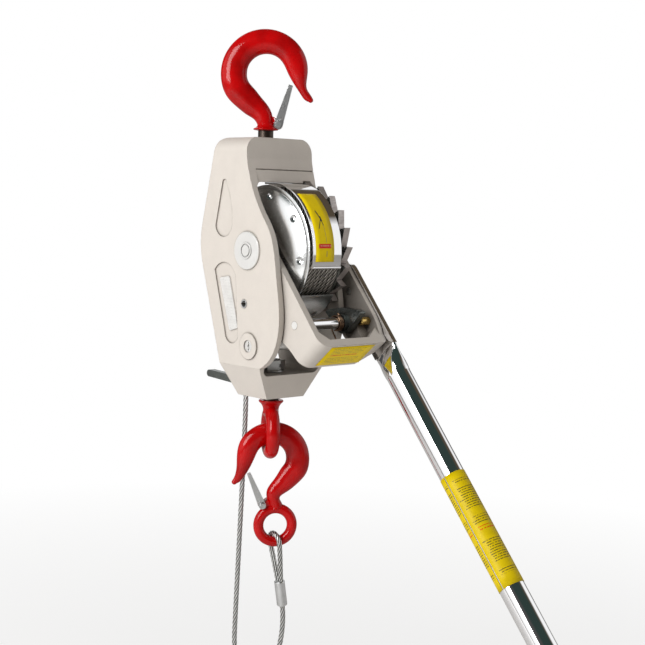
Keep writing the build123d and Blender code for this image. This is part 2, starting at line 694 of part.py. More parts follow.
with BuildPart() as holding_pawl_shaft:
    with BuildSketch(side_plane(-FRAME_HALF - 0.4)):
        with Locations(LOWER_BOSS):
            Circle(PAWL_SHAFT_R)
    extrude(amount=2 * FRAME_HALF + 0.8)
    # keyed end: a slot with a round middle
    with BuildSketch(side_plane(-FRAME_HALF - 0.4)):
        with Locations(LOWER_BOSS):
            Circle(1.9)
            Rectangle(1.8, 8.4)
    extrude(amount=2.0, mode=Mode.SUBTRACT)
save(holding_pawl_shaft.part, "holding_pawl_shaft")

ARM_T = 8.0
with BuildPart() as release_arm:
    with BuildSketch(side_plane(LEVER_X - ARM_T / 2)):
        with Locations(LOWER_BOSS):
            Circle(10.5)
        with BuildLine():
            Polyline((-13, -102), (2, -90), (4.5, -119), (-2, -119), (-13, -102))
        make_face()
        with Locations(LOWER_BOSS):
            Circle(PAWL_SHAFT_R + FIT, mode=Mode.SUBTRACT)
    extrude(amount=ARM_T)
save(release_arm.part, "release_arm")

holding_spot = side_plane(PAWL_LEFT - 8.5).from_local_coords(Vector(LOWER_BOSS[0], LOWER_BOSS[1], 0))
holding_coil = Plane(origin=holding_spot, x_dir=(0, 1, 0), z_dir=(1, 0, 0))
with BuildPart() as holding_pawl_spring:
    add(shaft_spring(holding_coil, PAWL_SHAFT_R + GAP, SPRING_WIRE, 4))
save(holding_pawl_spring.part, "holding_pawl_spring")

with BuildPart() as reverse_lever:
    with BuildSketch(side_plane(LEVER_X - ARM_T / 2)):
        with BuildLine():
            Polyline(
                (20, -139), (5.7, -119), (6.5, -113), (10.5, -112.5),
                (30, -131.5), (42, -134.4), (87, -132.6),
            )
            ThreePointArc((87, -132.6), (91.2, -136.4), (87, -140))
            Polyline((87, -140), (44, -142.4), (34, -147), (25, -146), (20, -139))
        make_face()
        with Locations(LEVER_PIVOT):
            Circle(2.5 + FIT, mode=Mode.SUBTRACT)
    extrude(amount=ARM_T)
save(reverse_lever.part, "reverse_lever")

with BuildPart() as lever_pin:
    with BuildSketch(side_plane(LEVER_X - 9.5)):
        with Locations(LEVER_PIVOT):
            Circle(2.5)
    extrude(amount=19)
save(lever_pin.part, "lever_pin")


# ---------------------------------------------------------------- forged hooks
def through(first, middle, last, part):
    """Smooth value that runs from first through middle to last as part goes 0 to 1."""
    return (
        first * (1 - part) * (1 - 2 * part) + 4 * middle * part * (1 - part) + last * part * (2 * part - 1)
    )


def bowl_stations(radii, widths):
    """Stations round a hook's bowl from its back to its front. A station is sideways, up,
    width in the hook's plane and thickness. radii and widths are first, middle, last."""
    stations = []
    for step in range(8):
        part = step / 7
        angle = radians(205 - 175 * part)
        radius = through(*radii, part)
        width = through(*widths, part)
        stations.append((radius * cos(angle), radius * sin(angle), width, 0.78 * width))
    return stations


TOP_STATIONS = [
    (0.0, -56.0, 16.5, 16.5), (-0.6, -50.0, 16.5, 16.5), (-5.4, -38.8, 20.5, 17.5),
    (-12.8, -32.0, 23.5, 18.8), (-20.7, -24.6, 26.0, 19.8),
    *bowl_stations((33.6, 35.0, 32.6), (27.4, 26.2, 23.9)),
    (32.3, 4.0, 20.6, 17.0), (35.6, -9.3, 11.6, 12.0), (38.9, -16.4, 8.4, 8.8), (45.9, -24.3, 5.4, 5.4),
]
LOWER_STATIONS = [
    (-4.2, -54.0, 14.4, 13.0), (-3.3, -47.5, 13.3, 12.6), (-1.8, -39.0, 15.5, 13.5),
    (-9.6, -29.6, 19.5, 15.0), (-18.3, -19.7, 24.0, 17.5),
    *bowl_stations((27.3, 26.6, 28.2), (25.4, 23.4, 21.6)),
    (28.6, 2.0, 19.0, 14.5), (31.4, -10.0, 13.6, 12.0), (34.5, -18.0, 9.8, 9.4), (40.0, -25.4, 5.6, 5.6),
]


def hook_body(plane, stations, side_sign):
    """Loft of ellipses along a hook's centre line with a round tip. side_sign -1 makes
    the hook open towards the plane's left."""
    centres = [plane.from_local_coords(Vector(side_sign * side, up, 0)) for side, up, _, _ in stations]
    with BuildPart() as body:
        for index, (_, _, width, thick) in enumerate(stations):
            before = centres[max(index - 1, 0)]
            after = centres[min(index + 1, len(centres) - 1)]
            tangent = after - before
            with BuildSketch(Plane(origin=centres[index], x_dir=tangent.cross(plane.z_dir), z_dir=tangent)):
                Ellipse(width / 2, thick / 2)
        loft()
        with Locations(centres[-1]):
            Sphere(stations[-1][2] / 2)
    return body.part


BOWL_Z = -BOWL_THROAT                        # bowl centre, below the hang point
top_plane = hook_plane(TOP_TURN, 0, BOWL_Z)
NECK_Z = BOWL_Z - NECK_DROP
LATCH_AT = (12.9, -50.6)
LATCH_TIP = (25.0, -9.6)
LATCH_BORE_R = 2.0
SHANK_FOOT = AXLE_Z + 70.5
COTTER_Z = AXLE_Z + 75.3

with BuildPart() as top_hook:
    add(hook_body(top_plane, TOP_STATIONS, 1))
    # flared collar above the frame, then the plain shank down through the bridge
    with BuildSketch(Plane.XZ):
        with BuildLine():
            Line((0, NECK_Z + 6), (8.2, NECK_Z + 6))
            ThreePointArc((8.2, NECK_Z + 6), (9.4, NECK_Z + 2), (12.4, NECK_Z - 0.2))
            ThreePointArc((12.4, NECK_Z - 0.2), (13, NECK_Z - 1.2), (12.2, NECK_Z - 2.0))
            Polyline(
                (12.2, NECK_Z - 2.0), (SWIVEL_R, NECK_Z - 2.6),
                (SWIVEL_R, SHANK_FOOT), (0, SHANK_FOOT), (0, NECK_Z + 6),
            )
        make_face()
    revolve(axis=Axis.Z)
    # lug for the latch
    with BuildSketch(top_plane):
        with Locations(LATCH_AT):
            Circle(4.6)
        with BuildLine():
            Polyline((2, -42), (8, -42.5), (16.8, -48.5), (13.6, -55), (2, -56), (2, -42))
        make_face()
    extrude(amount=3.0, both=True)
    with BuildSketch(top_plane):
        with Locations(LATCH_AT):
            Circle(LATCH_BORE_R + FIT)
    extrude(amount=20, both=True, mode=Mode.SUBTRACT)
    with BuildSketch(Plane.XZ.offset(-20)):
        with Locations((0, COTTER_Z)):
            Circle(1.6 + FIT)
    extrude(amount=40, mode=Mode.SUBTRACT)
save(top_hook.part, "top_hook")


def swivel_nut(z_low, height, y, pin_z):
    """Hexagon nut on a swivel shank, cross-drilled along Y for its roll pin."""
    with BuildPart() as nut:
        with BuildSketch(Plane.XY.offset(z_low)):
            with Locations((0, y)):
                RegularPolygon(radius=12.0, side_count=6, major_radius=False, rotation=30)
                Circle(SWIVEL_R + FIT, mode=Mode.SUBTRACT)
        extrude(amount=height)
        with BuildSketch(Plane.XZ.offset(-y - 20)):
            with Locations((0, pin_z)):
                Circle(1.6 + FIT)
        extrude(amount=40, mode=Mode.SUBTRACT)
    return nut.part


with BuildPart() as top_thrust_washer:
    with BuildSketch(Plane.XY.offset(AXLE_Z + BRIDGE_UNDERSIDE - 2.1)):
        Circle(13.2)
        Circle(SWIVEL_R + FIT, mode=Mode.SUBTRACT)
    extrude(amount=2.0)
save(top_thrust_washer.part, "top_thrust_washer")

with BuildPart() as top_hook_nut:
    add(swivel_nut(AXLE_Z + 70.8, 10.0, 0, COTTER_Z))
save(top_hook_nut.part, "top_hook_nut")

with BuildPart() as top_roll_pin:
    with BuildSketch(Plane.XZ.offset(-11.5)):
        with Locations((0, COTTER_Z)):
            Circle(1.6)
    extrude(amount=23)
save(top_roll_pin.part, "top_roll_pin")


def latch_body(plane, pivot, tip, near, ear, open_side):
    """Folded sheet latch: a channel whose two ears straddle the hook's lug. near is half
    its width at the pivot, ear the distance from its middle to an ear's outer face.
    open_side 1 opens the channel to the left of the way to the tip, -1 to the right."""
    start = Vector(*pivot)
    finish = Vector(*tip)
    along = (finish - start).normalized()
    aside = Vector(-along.Y, along.X) * open_side
    far = 0.46 * near
    sheet = 1.3
    with BuildPart() as latch:
        with BuildSketch(plane):
            with Locations(pivot):
                Circle(near)
            with BuildLine():
                Polyline(
                    start + aside * near, finish + aside * far, finish - aside * far,
                    start - aside * near, start + aside * near,
                )
            make_face()
            with Locations(pivot):
                Circle(LATCH_BORE_R + FIT, mode=Mode.SUBTRACT)
        extrude(amount=ear, both=True)
        # hollow of the channel, open towards the inside of the bowl
        with BuildSketch(plane):
            with BuildLine():
                inner = start - along * 9
                Polyline(
                    inner + aside * 12, finish + aside * 12 - along * sheet,
                    finish - aside * (far - sheet) - along * sheet,
                    start - aside * (near - sheet) + along * 6, inner - aside * 12, inner + aside * 12,
                )
            make_face()
        extrude(amount=ear - sheet, both=True, mode=Mode.SUBTRACT)
    return latch.part


def latch_pin(plane, pivot, ear, spring_length):
    """Headed pin through a latch, with room for its spring on the plane's near side."""
    head = 0.9
    low = ear + 0.15
    high = ear + spring_length + 0.3
    with BuildPart() as pin:
        with BuildSketch(plane.offset(-low - head)):
            with Locations(pivot):
                Circle(LATCH_BORE_R)
        extrude(amount=low + high + 2 * head)
        for start in (-low - head, high):
            with BuildSketch(plane.offset(start)):
                with Locations(pivot):
                    Circle(1.5 * LATCH_BORE_R)
            extrude(amount=head)
    return pin.part


def latch_spring(plane, pivot, ear):
    """Two coils of wire round the latch pin, outside the near ear."""
    centre = plane.from_local_coords(Vector(pivot[0], pivot[1], ear + 0.15))
    coil = Plane(origin=centre, x_dir=plane.x_dir, z_dir=plane.z_dir)
    return shaft_spring(coil, LATCH_BORE_R + 0.2, LATCH_WIRE, 2)


TOP_EAR = 5.2
LATCH_WIRE = 1.1

with BuildPart() as top_latch:
    add(latch_body(top_plane, LATCH_AT, LATCH_TIP, 4.6, TOP_EAR, 1))
save(top_latch.part, "top_latch")

with BuildPart() as top_latch_pin:
    add(latch_pin(top_plane, LATCH_AT, TOP_EAR, 2 * LATCH_WIRE))
save(top_latch_pin.part, "top_latch_pin")

with BuildPart() as top_latch_spring:
    add(latch_spring(top_plane, LATCH_AT, TOP_EAR))
save(top_latch_spring.part, "top_latch_spring")


# ---------------------------------------------------------------- anchor eye
EYE_BOTTOM = AXLE_Z - 219.6
EYE_Z = EYE_BOTTOM + EYE_BAR_R + EYE_RING_R
COLLAR_TOP = AXLE_Z + FRAME_BOTTOM - 4.7
ANCHOR_TOP = AXLE_Z + BLOCK_TOP + 13.0
ANCHOR_PIN_Z = AXLE_Z + BLOCK_TOP + 7.3
anchor_plane = hook_plane(LOWER_TURN, ANCHOR_Y, 0)

with BuildPart() as anchor_eye:
    with Locations(Plane(origin=(0, ANCHOR_Y, EYE_Z), x_dir=(0, 0, 1), z_dir=anchor_plane.x_dir)):
        Torus(EYE_RING_R, EYE_BAR_R)
    with BuildSketch(Plane(origin=(0, ANCHOR_Y, 0), x_dir=(1, 0, 0), z_dir=(0, -1, 0))):
        with BuildLine():
            Line((0, EYE_Z + EYE_RING_R - 1), (8.5, EYE_Z + EYE_RING_R - 1))
            ThreePointArc((8.5, EYE_Z + EYE_RING_R - 1), (9.4, COLLAR_TOP - 6), (12.4, COLLAR_TOP - 2.4))
            ThreePointArc((12.4, COLLAR_TOP - 2.4), (13.0, COLLAR_TOP - 1.2), (12.4, COLLAR_TOP))
            Polyline((12.4, COLLAR_TOP), (SWIVEL_R, COLLAR_TOP), (SWIVEL_R, ANCHOR_TOP), (0, ANCHOR_TOP))
            Line((0, ANCHOR_TOP), (0, EYE_Z + EYE_RING_R - 1))
        make_face()
    revolve(axis=Axis((0, ANCHOR_Y, 0), (0, 0, 1)))
    with BuildSketch(Plane.XZ.offset(-ANCHOR_Y - 20)):
        with Locations((0, ANCHOR_PIN_Z)):
            Circle(1.6 + FIT)
    extrude(amount=40, mode=Mode.SUBTRACT)
save(anchor_eye.part, "anchor_eye")

with BuildPart() as anchor_washer:
    with BuildSketch(Plane.XY.offset(AXLE_Z + BLOCK_TOP + 0.1)):
        with Locations((0, ANCHOR_Y)):
            Circle(13.0)
            Circle(SWIVEL_R + FIT, mode=Mode.SUBTRACT)
    extrude(amount=2.0)
save(anchor_washer.part, "anchor_washer")

with BuildPart() as anchor_nut:
    add(swivel_nut(AXLE_Z + BLOCK_TOP + 2.3, 10.0, ANCHOR_Y, ANCHOR_PIN_Z))
save(anchor_nut.part, "anchor_nut")

with BuildPart() as anchor_roll_pin:
    with BuildSketch(Plane.XZ.offset(-ANCHOR_Y - 11.5)):
        with Locations((0, ANCHOR_PIN_Z)):
            Circle(1.6)
    extrude(amount=23)
save(anchor_roll_pin.part, "anchor_roll_pin")


# ---------------------------------------------------------------- lower hook
BAR_TO_BOWL = EYE_BAR_R - 0.45                # eye bar's centre above the bowl's centre
lower_bowl = hook_plane(LOWER_TURN, ANCHOR_Y).from_local_coords(
    Vector(LOWER_BOWL_SIDE, EYE_BOTTOM + EYE_BAR_R - BAR_TO_BOWL, 0)
)
lower_plane = Plane(origin=lower_bowl, x_dir=anchor_plane.x_dir, z_dir=anchor_plane.z_dir)
LOWER_EYE = (4.4, -72.1)
LOWER_EYE_R = 17.9
LOWER_EYE_BAR = 5.4
LOWER_LATCH_AT = (-10.2, -50.3)
LOWER_LATCH_TIP = (-24.6, -16.8)
LOWER_EAR = 4.4

with BuildPart() as lower_hook:
    add(hook_body(lower_plane, LOWER_STATIONS, -1))
    with Locations(lower_plane * Pos(LOWER_EYE[0], LOWER_EYE[1])):
        Torus(LOWER_EYE_R, LOWER_EYE_BAR)
    # lug for the latch
    with BuildSketch(lower_plane):
        with Locations(LOWER_LATCH_AT):
            Circle(3.8)
        with BuildLine():
            Polyline((0, -40), (-4, -42), (-12.6, -47.4), (-11.6, -53.4), (-5.6, -58.5), (2, -56), (0, -40))
        make_face()
    extrude(amount=2.6, both=True)
    with BuildSketch(lower_plane):
        with Locations(LOWER_LATCH_AT):
            Circle(LATCH_BORE_R + FIT)
    extrude(amount=20, both=True, mode=Mode.SUBTRACT)
save(lower_hook.part, "lower_hook")

with BuildPart() as lower_latch:
    add(latch_body(lower_plane, LOWER_LATCH_AT, LOWER_LATCH_TIP, 3.9, LOWER_EAR, -1))
save(lower_latch.part, "lower_latch")

with BuildPart() as lower_latch_pin:
    add(latch_pin(lower_plane, LOWER_LATCH_AT, LOWER_EAR, 2 * LATCH_WIRE))
save(lower_latch_pin.part, "lower_latch_pin")

with BuildPart() as lower_latch_spring:
    add(latch_spring(lower_plane, LOWER_LATCH_AT, LOWER_EAR))
save(lower_latch_spring.part, "lower_latch_spring")


# ---------------------------------------------------------------- the cable's free part
ROPE_R = CABLE_D / 2
RUN_TOP = (0, 31.8, AXLE_Z - 34)              # just clear of the wound cable
RUN_MIDDLE = (0, 23.3, AXLE_Z - 160)
RUN_END = (0, 34.0, AXLE_Z - 425)
BEND_DEPTH = 37.0                             # lowest point of the bend below the run's end
EYE_LEAN = 8.0                                # the end loop leans aside in its eye
SLEEVE_LENGTH = 27.0
SLEEVE_START = 43.0                           # below the eye's lower bar
LOOP_R = LOWER_EYE_BAR + ROPE_R + 0.5
LEG_GAP = ROPE_R + 0.2                       # half the distance between the loop's legs
lower_eye_bar = lower_plane.from_local_coords(Vector(LOWER_EYE[0], LOWER_EYE[1] - LOWER_EYE_R, 0))
lean_down = lower_plane.x_dir * sin(radians(EYE_LEAN)) - Vector(0, 0, cos(radians(EYE_LEAN)))
# local axes: towards the hook's face, and down along the leaning loop
loop_plane = Plane(origin=lower_eye_bar, x_dir=lower_plane.z_dir, z_dir=lower_plane.z_dir.cross(lean_down))
sleeve_top = lower_eye_bar + lean_down * SLEEVE_START
sleeve_end = sleeve_top + lean_down * SLEEVE_LENGTH

with BuildPart() as cable_standing_run:
    with BuildLine() as run_path:
        Spline(RUN_TOP, RUN_MIDDLE, RUN_END, tangents=[(0, -0.075, -1), (0, 0.0, -1)])
    with BuildSketch(Plane(origin=run_path.line @ 0, z_dir=run_path.line % 0)):
        Circle(ROPE_R)
    sweep(path=run_path.line)
save(cable_standing_run.part, "cable_standing_run")

with BuildPart() as cable_return_run:
    with BuildLine() as bend_path:
        start = Vector(*RUN_END) - Vector(0, 0, 2 * FIT)
        finish = sleeve_end + lean_down * FIT
        low = Vector((start.X + finish.X) / 2, (start.Y + finish.Y) / 2, start.Z - BEND_DEPTH)
        Spline(start, low, finish, tangents=[(0, 0, -1), (-lean_down.X, -lean_down.Y, -lean_down.Z)])
    with BuildSketch(Plane(origin=bend_path.line @ 0, z_dir=bend_path.line % 0)):
        Circle(ROPE_R)
    sweep(path=bend_path.line)
save(cable_return_run.part, "cable_return_run")

with BuildPart() as cable_end_loop:
    with BuildLine(loop_plane) as loop_path:
        round_bar = [
            (LOOP_R * cos(radians(turn)), -LOOP_R * sin(radians(turn)))
            for turn in (-15, 20, 55, 90, 125, 160, 195)
        ]
        leg_foot = SLEEVE_START - GAP
        near_leg = [(LEG_GAP, leg_foot), (LEG_GAP + 0.1, leg_foot - 6)]
        far_leg = [(-LEG_GAP - 0.1, leg_foot - 6), (-LEG_GAP, leg_foot)]
        Spline(*near_leg, *round_bar, *far_leg)
    with BuildSketch(Plane(origin=loop_path.line @ 0, z_dir=loop_path.line % 0)):
        Circle(ROPE_R)
    sweep(path=loop_path.line)
save(cable_end_loop.part, "cable_end_loop")

with BuildPart() as swage_sleeve:
    with BuildSketch(Plane(origin=sleeve_top, x_dir=lower_plane.z_dir, z_dir=lean_down)):
        Ellipse(7.2, 5.6)
    extrude(amount=SLEEVE_LENGTH)
    fillet(edges(), radius=1.2)
save(swage_sleeve.part, "swage_sleeve")
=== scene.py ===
"""Looks of the hand cable ratchet winch: materials, stranded cable, labels, springs, light and camera."""
import json
import math

import bpy
import numpy as np
from mathutils import Matrix, Vector


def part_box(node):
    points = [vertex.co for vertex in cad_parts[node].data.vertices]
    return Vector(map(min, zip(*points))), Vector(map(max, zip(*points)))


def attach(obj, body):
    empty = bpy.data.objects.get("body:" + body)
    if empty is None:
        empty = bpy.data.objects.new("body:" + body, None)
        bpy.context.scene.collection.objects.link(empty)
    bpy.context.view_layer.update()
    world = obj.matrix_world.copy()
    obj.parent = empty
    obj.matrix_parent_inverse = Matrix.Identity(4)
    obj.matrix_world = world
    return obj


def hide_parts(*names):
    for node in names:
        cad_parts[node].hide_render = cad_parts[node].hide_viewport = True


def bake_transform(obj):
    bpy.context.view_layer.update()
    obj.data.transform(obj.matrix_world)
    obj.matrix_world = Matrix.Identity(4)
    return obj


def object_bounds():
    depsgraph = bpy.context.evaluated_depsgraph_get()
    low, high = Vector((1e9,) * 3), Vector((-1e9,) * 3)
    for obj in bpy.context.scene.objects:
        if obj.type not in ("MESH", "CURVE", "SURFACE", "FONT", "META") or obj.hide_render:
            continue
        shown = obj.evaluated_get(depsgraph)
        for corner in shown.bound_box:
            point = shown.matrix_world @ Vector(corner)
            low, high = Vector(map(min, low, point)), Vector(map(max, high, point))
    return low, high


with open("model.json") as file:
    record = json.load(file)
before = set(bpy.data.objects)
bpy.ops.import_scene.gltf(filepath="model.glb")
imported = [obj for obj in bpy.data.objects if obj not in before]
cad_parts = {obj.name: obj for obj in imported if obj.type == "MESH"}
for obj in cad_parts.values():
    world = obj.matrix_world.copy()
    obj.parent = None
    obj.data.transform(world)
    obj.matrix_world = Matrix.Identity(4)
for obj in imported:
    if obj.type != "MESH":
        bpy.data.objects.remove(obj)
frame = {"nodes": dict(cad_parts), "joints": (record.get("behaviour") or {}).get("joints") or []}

CAD_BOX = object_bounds()
MM = 0.001
JOINTS = {joint["name"]: joint for joint in frame["joints"]}
NODES = frame["nodes"]

# ------------------------------------------------------------------ places and sizes
AXLE = Vector(JOINTS["drum_turn"]["pos_m"])
SWING = math.radians(49.5)                     # the handle's angle below horizontal
ALONG = Vector((0, -math.cos(SWING), -math.sin(SWING)))
ABOVE = Vector((0, -math.sin(SWING), math.cos(SWING)))
YOKE_END = 136.0                               # axle to the yoke's end wall, in mm
TUBE_R = 12.7                                  # outside radius of the handle tube
TUBE_UP = 13.0                                 # its centre above the arm's line
ROPE_R = 2.75 * MM
ROPE_LAY = 33 * MM                             # length in which a strand goes once round the rope
STRANDS = 6
WIRES = 7                                      # wires drawn on each strand
TURNS = 8                                      # turns of cable in the drum's outer layer
PATH_STEP = 1.6 * MM                           # spacing of the points along a cable
LABEL_LIFT = 0.2                               # labels stand this far off their surface, in mm


def arm_point(x, along, above):
    """A point from its x in metres and its place along and above the handle's arm in mm."""
    return Vector((x, AXLE.y, AXLE.z)) + ALONG * along * MM + ABOVE * above * MM


def drum_point(x, radius, angle):
    """A point round the axle; the angle is counted upwards from the forward direction."""
    return Vector((x, AXLE.y - radius * math.cos(angle), AXLE.z + radius * math.sin(angle)))


# ------------------------------------------------------------------ materials
class Nodes:
    """Short calls for building a node tree."""

    def __init__(self, tree):
        self.tree = tree

    @staticmethod
    def rgb(color):
        return (*color, 1.0)

    def node(self, kind, **settings):
        made = self.tree.nodes.new(kind)
        for key, value in settings.items():
            setattr(made, key, value)
        return made

    def plug(self, socket, value):
        if isinstance(value, bpy.types.NodeSocket):
            self.tree.links.new(value, socket)
        elif value is not None:
            socket.default_value = value

    def math(self, operation, first, second=None, third=None):
        made = self.node("ShaderNodeMath", operation=operation)
        for socket, value in zip(made.inputs, (first, second, third)):
            self.plug(socket, value)
        return made.outputs[0]

    def clamp(self, value):
        made = self.node("ShaderNodeClamp")
        self.plug(made.inputs[0], value)
        return made.outputs[0]

    def split(self, value):
        """X, Y and Z of a vector."""
        made = self.node("ShaderNodeSeparateXYZ")
        self.plug(made.inputs[0], value)
        return made.outputs[:3]

    def remap(self, value, low, high, to_low=0.0, to_high=1.0):
        """value's range low..high stretched to to_low..to_high, and held there beyond it."""
        made = self.node("ShaderNodeMapRange")
        for socket, entry in zip(made.inputs, (value, low, high, to_low, to_high)):
            self.plug(socket, entry)
        return made.outputs[0]

    def window(self, value, low, high, soft):
        """1 between low and high, with soft flanks."""
        rise = self.remap(value, low - soft, low + soft)
        fall = self.remap(value, high - soft, high + soft, 1.0, 0.0)
        return self.math("MULTIPLY", rise, fall)

    def mix(self, factor, first, second):
        made = self.node("ShaderNodeMix", data_type="RGBA")
        self.plug(made.inputs[0], factor)
        for socket, value in zip((made.inputs[6], made.inputs[7]), (first, second)):
            self.plug(socket, self.rgb(value) if isinstance(value, tuple) and len(value) == 3 else value)
        return made.outputs[2]

    def mix_shaders(self, factor, first, second):
        made = self.node("ShaderNodeMixShader")
        for socket, value in zip(made.inputs, (factor, first, second)):
            self.plug(socket, value)
        return made.outputs[0]


class Shader(Nodes):
    """A node material round one Principled shader."""

    def __init__(self, name, color, roughness, metallic=0.0, coat=0.0):
        self.material = bpy.data.materials.new(name)
        self.material.use_nodes = True
        super().__init__(self.material.node_tree)
        self.base = self.tree.nodes["Principled BSDF"]
        self.set("Base Color", self.rgb(color))
        self.set("Roughness", roughness)
        self.set("Metallic", metallic)
        self.set("Coat Weight", coat)
        self.set("Coat Roughness", 0.12)
        self.where = self.node("ShaderNodeTexCoord").outputs["Object"]
        self.last_bump = None

    def set(self, name, value):
        self.plug(self.base.inputs[name], value)

    def stretch(self, scale, where=None):
        """Places scaled per axis, for drawn-out noise."""
        made = self.node("ShaderNodeMapping")
        self.plug(made.inputs["Vector"], where or self.where)
        made.inputs["Scale"].default_value = scale
        return made.outputs[0]

    def noise(self, scale, detail=3.0, roughness=0.55, where=None):
        made = self.node("ShaderNodeTexNoise")
        self.plug(made.inputs["Vector"], where or self.where)
        made.inputs["Scale"].default_value = scale
        made.inputs["Detail"].default_value = detail
        made.inputs["Roughness"].default_value = roughness
        return made.outputs["Fac"]

    def cells(self, scale):
        made = self.node("ShaderNodeTexVoronoi")
        self.plug(made.inputs["Vector"], self.where)
        made.inputs["Scale"].default_value = scale
        return made.outputs["Distance"]

    def bump(self, height, strength, distance_mm):
        """Adds one more layer of relief on top of the earlier ones."""
        made = self.node("ShaderNodeBump")
        self.plug(made.inputs["Height"], height)
        made.inputs["Strength"].default_value = strength
        made.inputs["Distance"].default_value = distance_mm * MM
        if self.last_bump:
            self.plug(made.inputs["Normal"], self.last_bump)
        self.last_bump = made.outputs[0]
        self.set("Normal", self.last_bump)

    def round_edges(self, radius_mm):
        """Softens how sharp edges catch the light."""
        made = self.node("ShaderNodeBevel", samples=4)
        made.inputs["Radius"].default_value = radius_mm * MM
        self.last_bump = made.outputs[0]
        self.set("Normal", self.last_bump)

    def edge_mask(self, radius_mm):
        """1 along edges and 0 on flat stretches."""
        rounded = self.node("ShaderNodeBevel", samples=4)
        rounded.inputs["Radius"].default_value = radius_mm * MM
        flat = self.node("ShaderNodeNewGeometry").outputs["Normal"]
        dot = self.node("ShaderNodeVectorMath", operation="DOT_PRODUCT")
        self.plug(dot.inputs[0], rounded.outputs[0])
        self.plug(dot.inputs[1], flat)
        return self.remap(dot.outputs["Value"], 0.995, 0.9)

    def hollows(self, reach_mm):
        """0 in tight corners and 1 in the open."""
        made = self.node("ShaderNodeAmbientOcclusion", samples=6)
        made.inputs["Distance"].default_value = reach_mm * MM
        return made.outputs["AO"]

    def uv(self):
        """u, v and an unused zero."""
        return self.split(self.node("ShaderNodeUVMap").outputs[0])


def cast_paint(name, color, edge_color, inside, grain=1.0):
    """Matt light coat over a fine sand casting, rubbed brownish along its edges, with painted shade
    darkening its corners and pockets. inside is how dark the painted pocket shade gets."""
    sh = Shader(name, color, 0.5, metallic=0.08)
    sh.set("Specular IOR Level", 0.35)
    sh.round_edges(0.9)
    darker, lighter = tuple(0.94 * c for c in color), tuple(min(1, 1.05 * c) for c in color)
    mottled = sh.mix(sh.noise(55, 5), darker, lighter)
    specks = sh.remap(sh.noise(900, 2, 0.7), 0.60, 0.74)
    speckled = sh.mix(sh.math("MULTIPLY", specks, 0.25), mottled, tuple(0.72 * c for c in color))
    worn = sh.math("MULTIPLY", sh.edge_mask(1.6), sh.remap(sh.noise(160, 4), 0.42, 0.62))
    rubbed = sh.mix(sh.math("MULTIPLY", worn, 0.55), speckled, edge_color)
    # painted shade: tight corners and the edges of recesses darken towards a dark brown
    shadowed = sh.remap(sh.hollows(2.6), 0.35, 0.95, 0.75, 0.0)
    crisp = sh.mix(shadowed, rubbed, (0.13, 0.105, 0.085))
    # painted shade: surfaces deep in pockets darken towards a dark brown, as far as inside says
    deep = sh.remap(sh.hollows(50), 0.3, 0.9, inside, 0.0)
    sh.set("Base Color", sh.mix(deep, crisp, (0.13, 0.11, 0.09)))
    sh.set("Roughness", sh.remap(sh.noise(300, 3), 0.3, 0.7, 0.42, 0.62))
    sh.bump(sh.noise(1300, 2, 0.6), 0.22 * grain, 0.12)
    sh.bump(sh.noise(260, 3, 0.5), 0.16 * grain, 0.35)
    return sh.material


def enamel(name):
    """Thick red enamel over a forging: glossy, slightly lumpy, darker in random patches."""
    red, deep = (0.56, 0.0012, 0.002), (0.36, 0.0005, 0.0008)
    sh = Shader(name, red, 0.3, coat=0.5)
    sh.set("Specular IOR Level", 0.05)
    sh.set("Base Color", sh.mix(sh.remap(sh.noise(38, 4), 0.40, 0.70), red, deep))
    sh.set("Roughness", sh.remap(sh.noise(220, 3), 0.35, 0.7, 0.24, 0.36))
    sh.set("Coat Roughness", sh.remap(sh.noise(150, 3), 0.35, 0.7, 0.05, 0.14))
    sh.bump(sh.noise(620, 3, 0.65), 0.34, 0.14)
    sh.bump(sh.noise(110, 3, 0.5), 0.36, 0.7)
    sh.set("Coat Normal", sh.last_bump)
    return sh.material


def metal(name, color, roughness, grain=0.3, stretch=(1, 1, 1), stain=0.0, bevel=0.4):
    """Bare or plated metal with fine brush marks along the short stretch direction."""
    sh = Shader(name, color, roughness, metallic=1.0)
    if bevel:
        sh.round_edges(bevel)
    marks = sh.noise(900, 4, 0.6, sh.stretch(stretch))
    cloud = sh.noise(70, 5, 0.6)
    tone = sh.mix(sh.remap(cloud, 0.35, 0.75), color, tuple(c * (1 - stain) for c in color))
    # painted shade: tight corners darken towards a dark copy of the metal's colour
    painted_corner_shade = sh.remap(sh.hollows(1.6), 0.35, 0.9, 0.7, 0.0)
    sh.set("Base Color", sh.mix(painted_corner_shade, tone, tuple(0.16 * c for c in color)))
    rough = sh.math("ADD", sh.remap(marks, 0.3, 0.7, -0.3 * grain, 0.3 * grain), roughness)
    sh.set("Roughness", sh.clamp(rough))
    sh.bump(marks, 0.08 * grain, 0.05)
    return sh.material


def greasy_rope(name, color, glint, roughness):
    """Strands of fine wires; v runs along a strand and u round it, from its outward side."""
    sh = Shader(name, color, roughness, metallic=0.9)
    u, v, _ = sh.uv()
    turns = sh.math("ADD", v, sh.math("MULTIPLY", u, float(WIRES)))
    # painted shade: darker lines between the single wires
    wires = sh.remap(sh.math("SINE", sh.math("MULTIPLY", turns, 2 * math.pi)), -1.0, 1.0, 0.72, 1.0)
    dirt = sh.remap(sh.noise(260, 4, 0.65), 0.38, 0.68, 0.7, 1.0)
    # painted shade and highlight: glint along each strand's outward crown, the dark color on its flanks
    # where the strands meet
    painted_crown_light = sh.remap(sh.math("COSINE", sh.math("MULTIPLY", u, 2 * math.pi)), 0.45, 0.95)
    dirt_and_painted_shade = sh.math("MULTIPLY", painted_crown_light, sh.math("MULTIPLY", wires, dirt))
    sh.set("Base Color", sh.mix(dirt_and_painted_shade, color, glint))
    sh.set("Roughness", sh.remap(dirt, 0.7, 1, roughness + 0.12, roughness - 0.06))
    sh.bump(wires, 0.4, 0.16)
    return sh.material


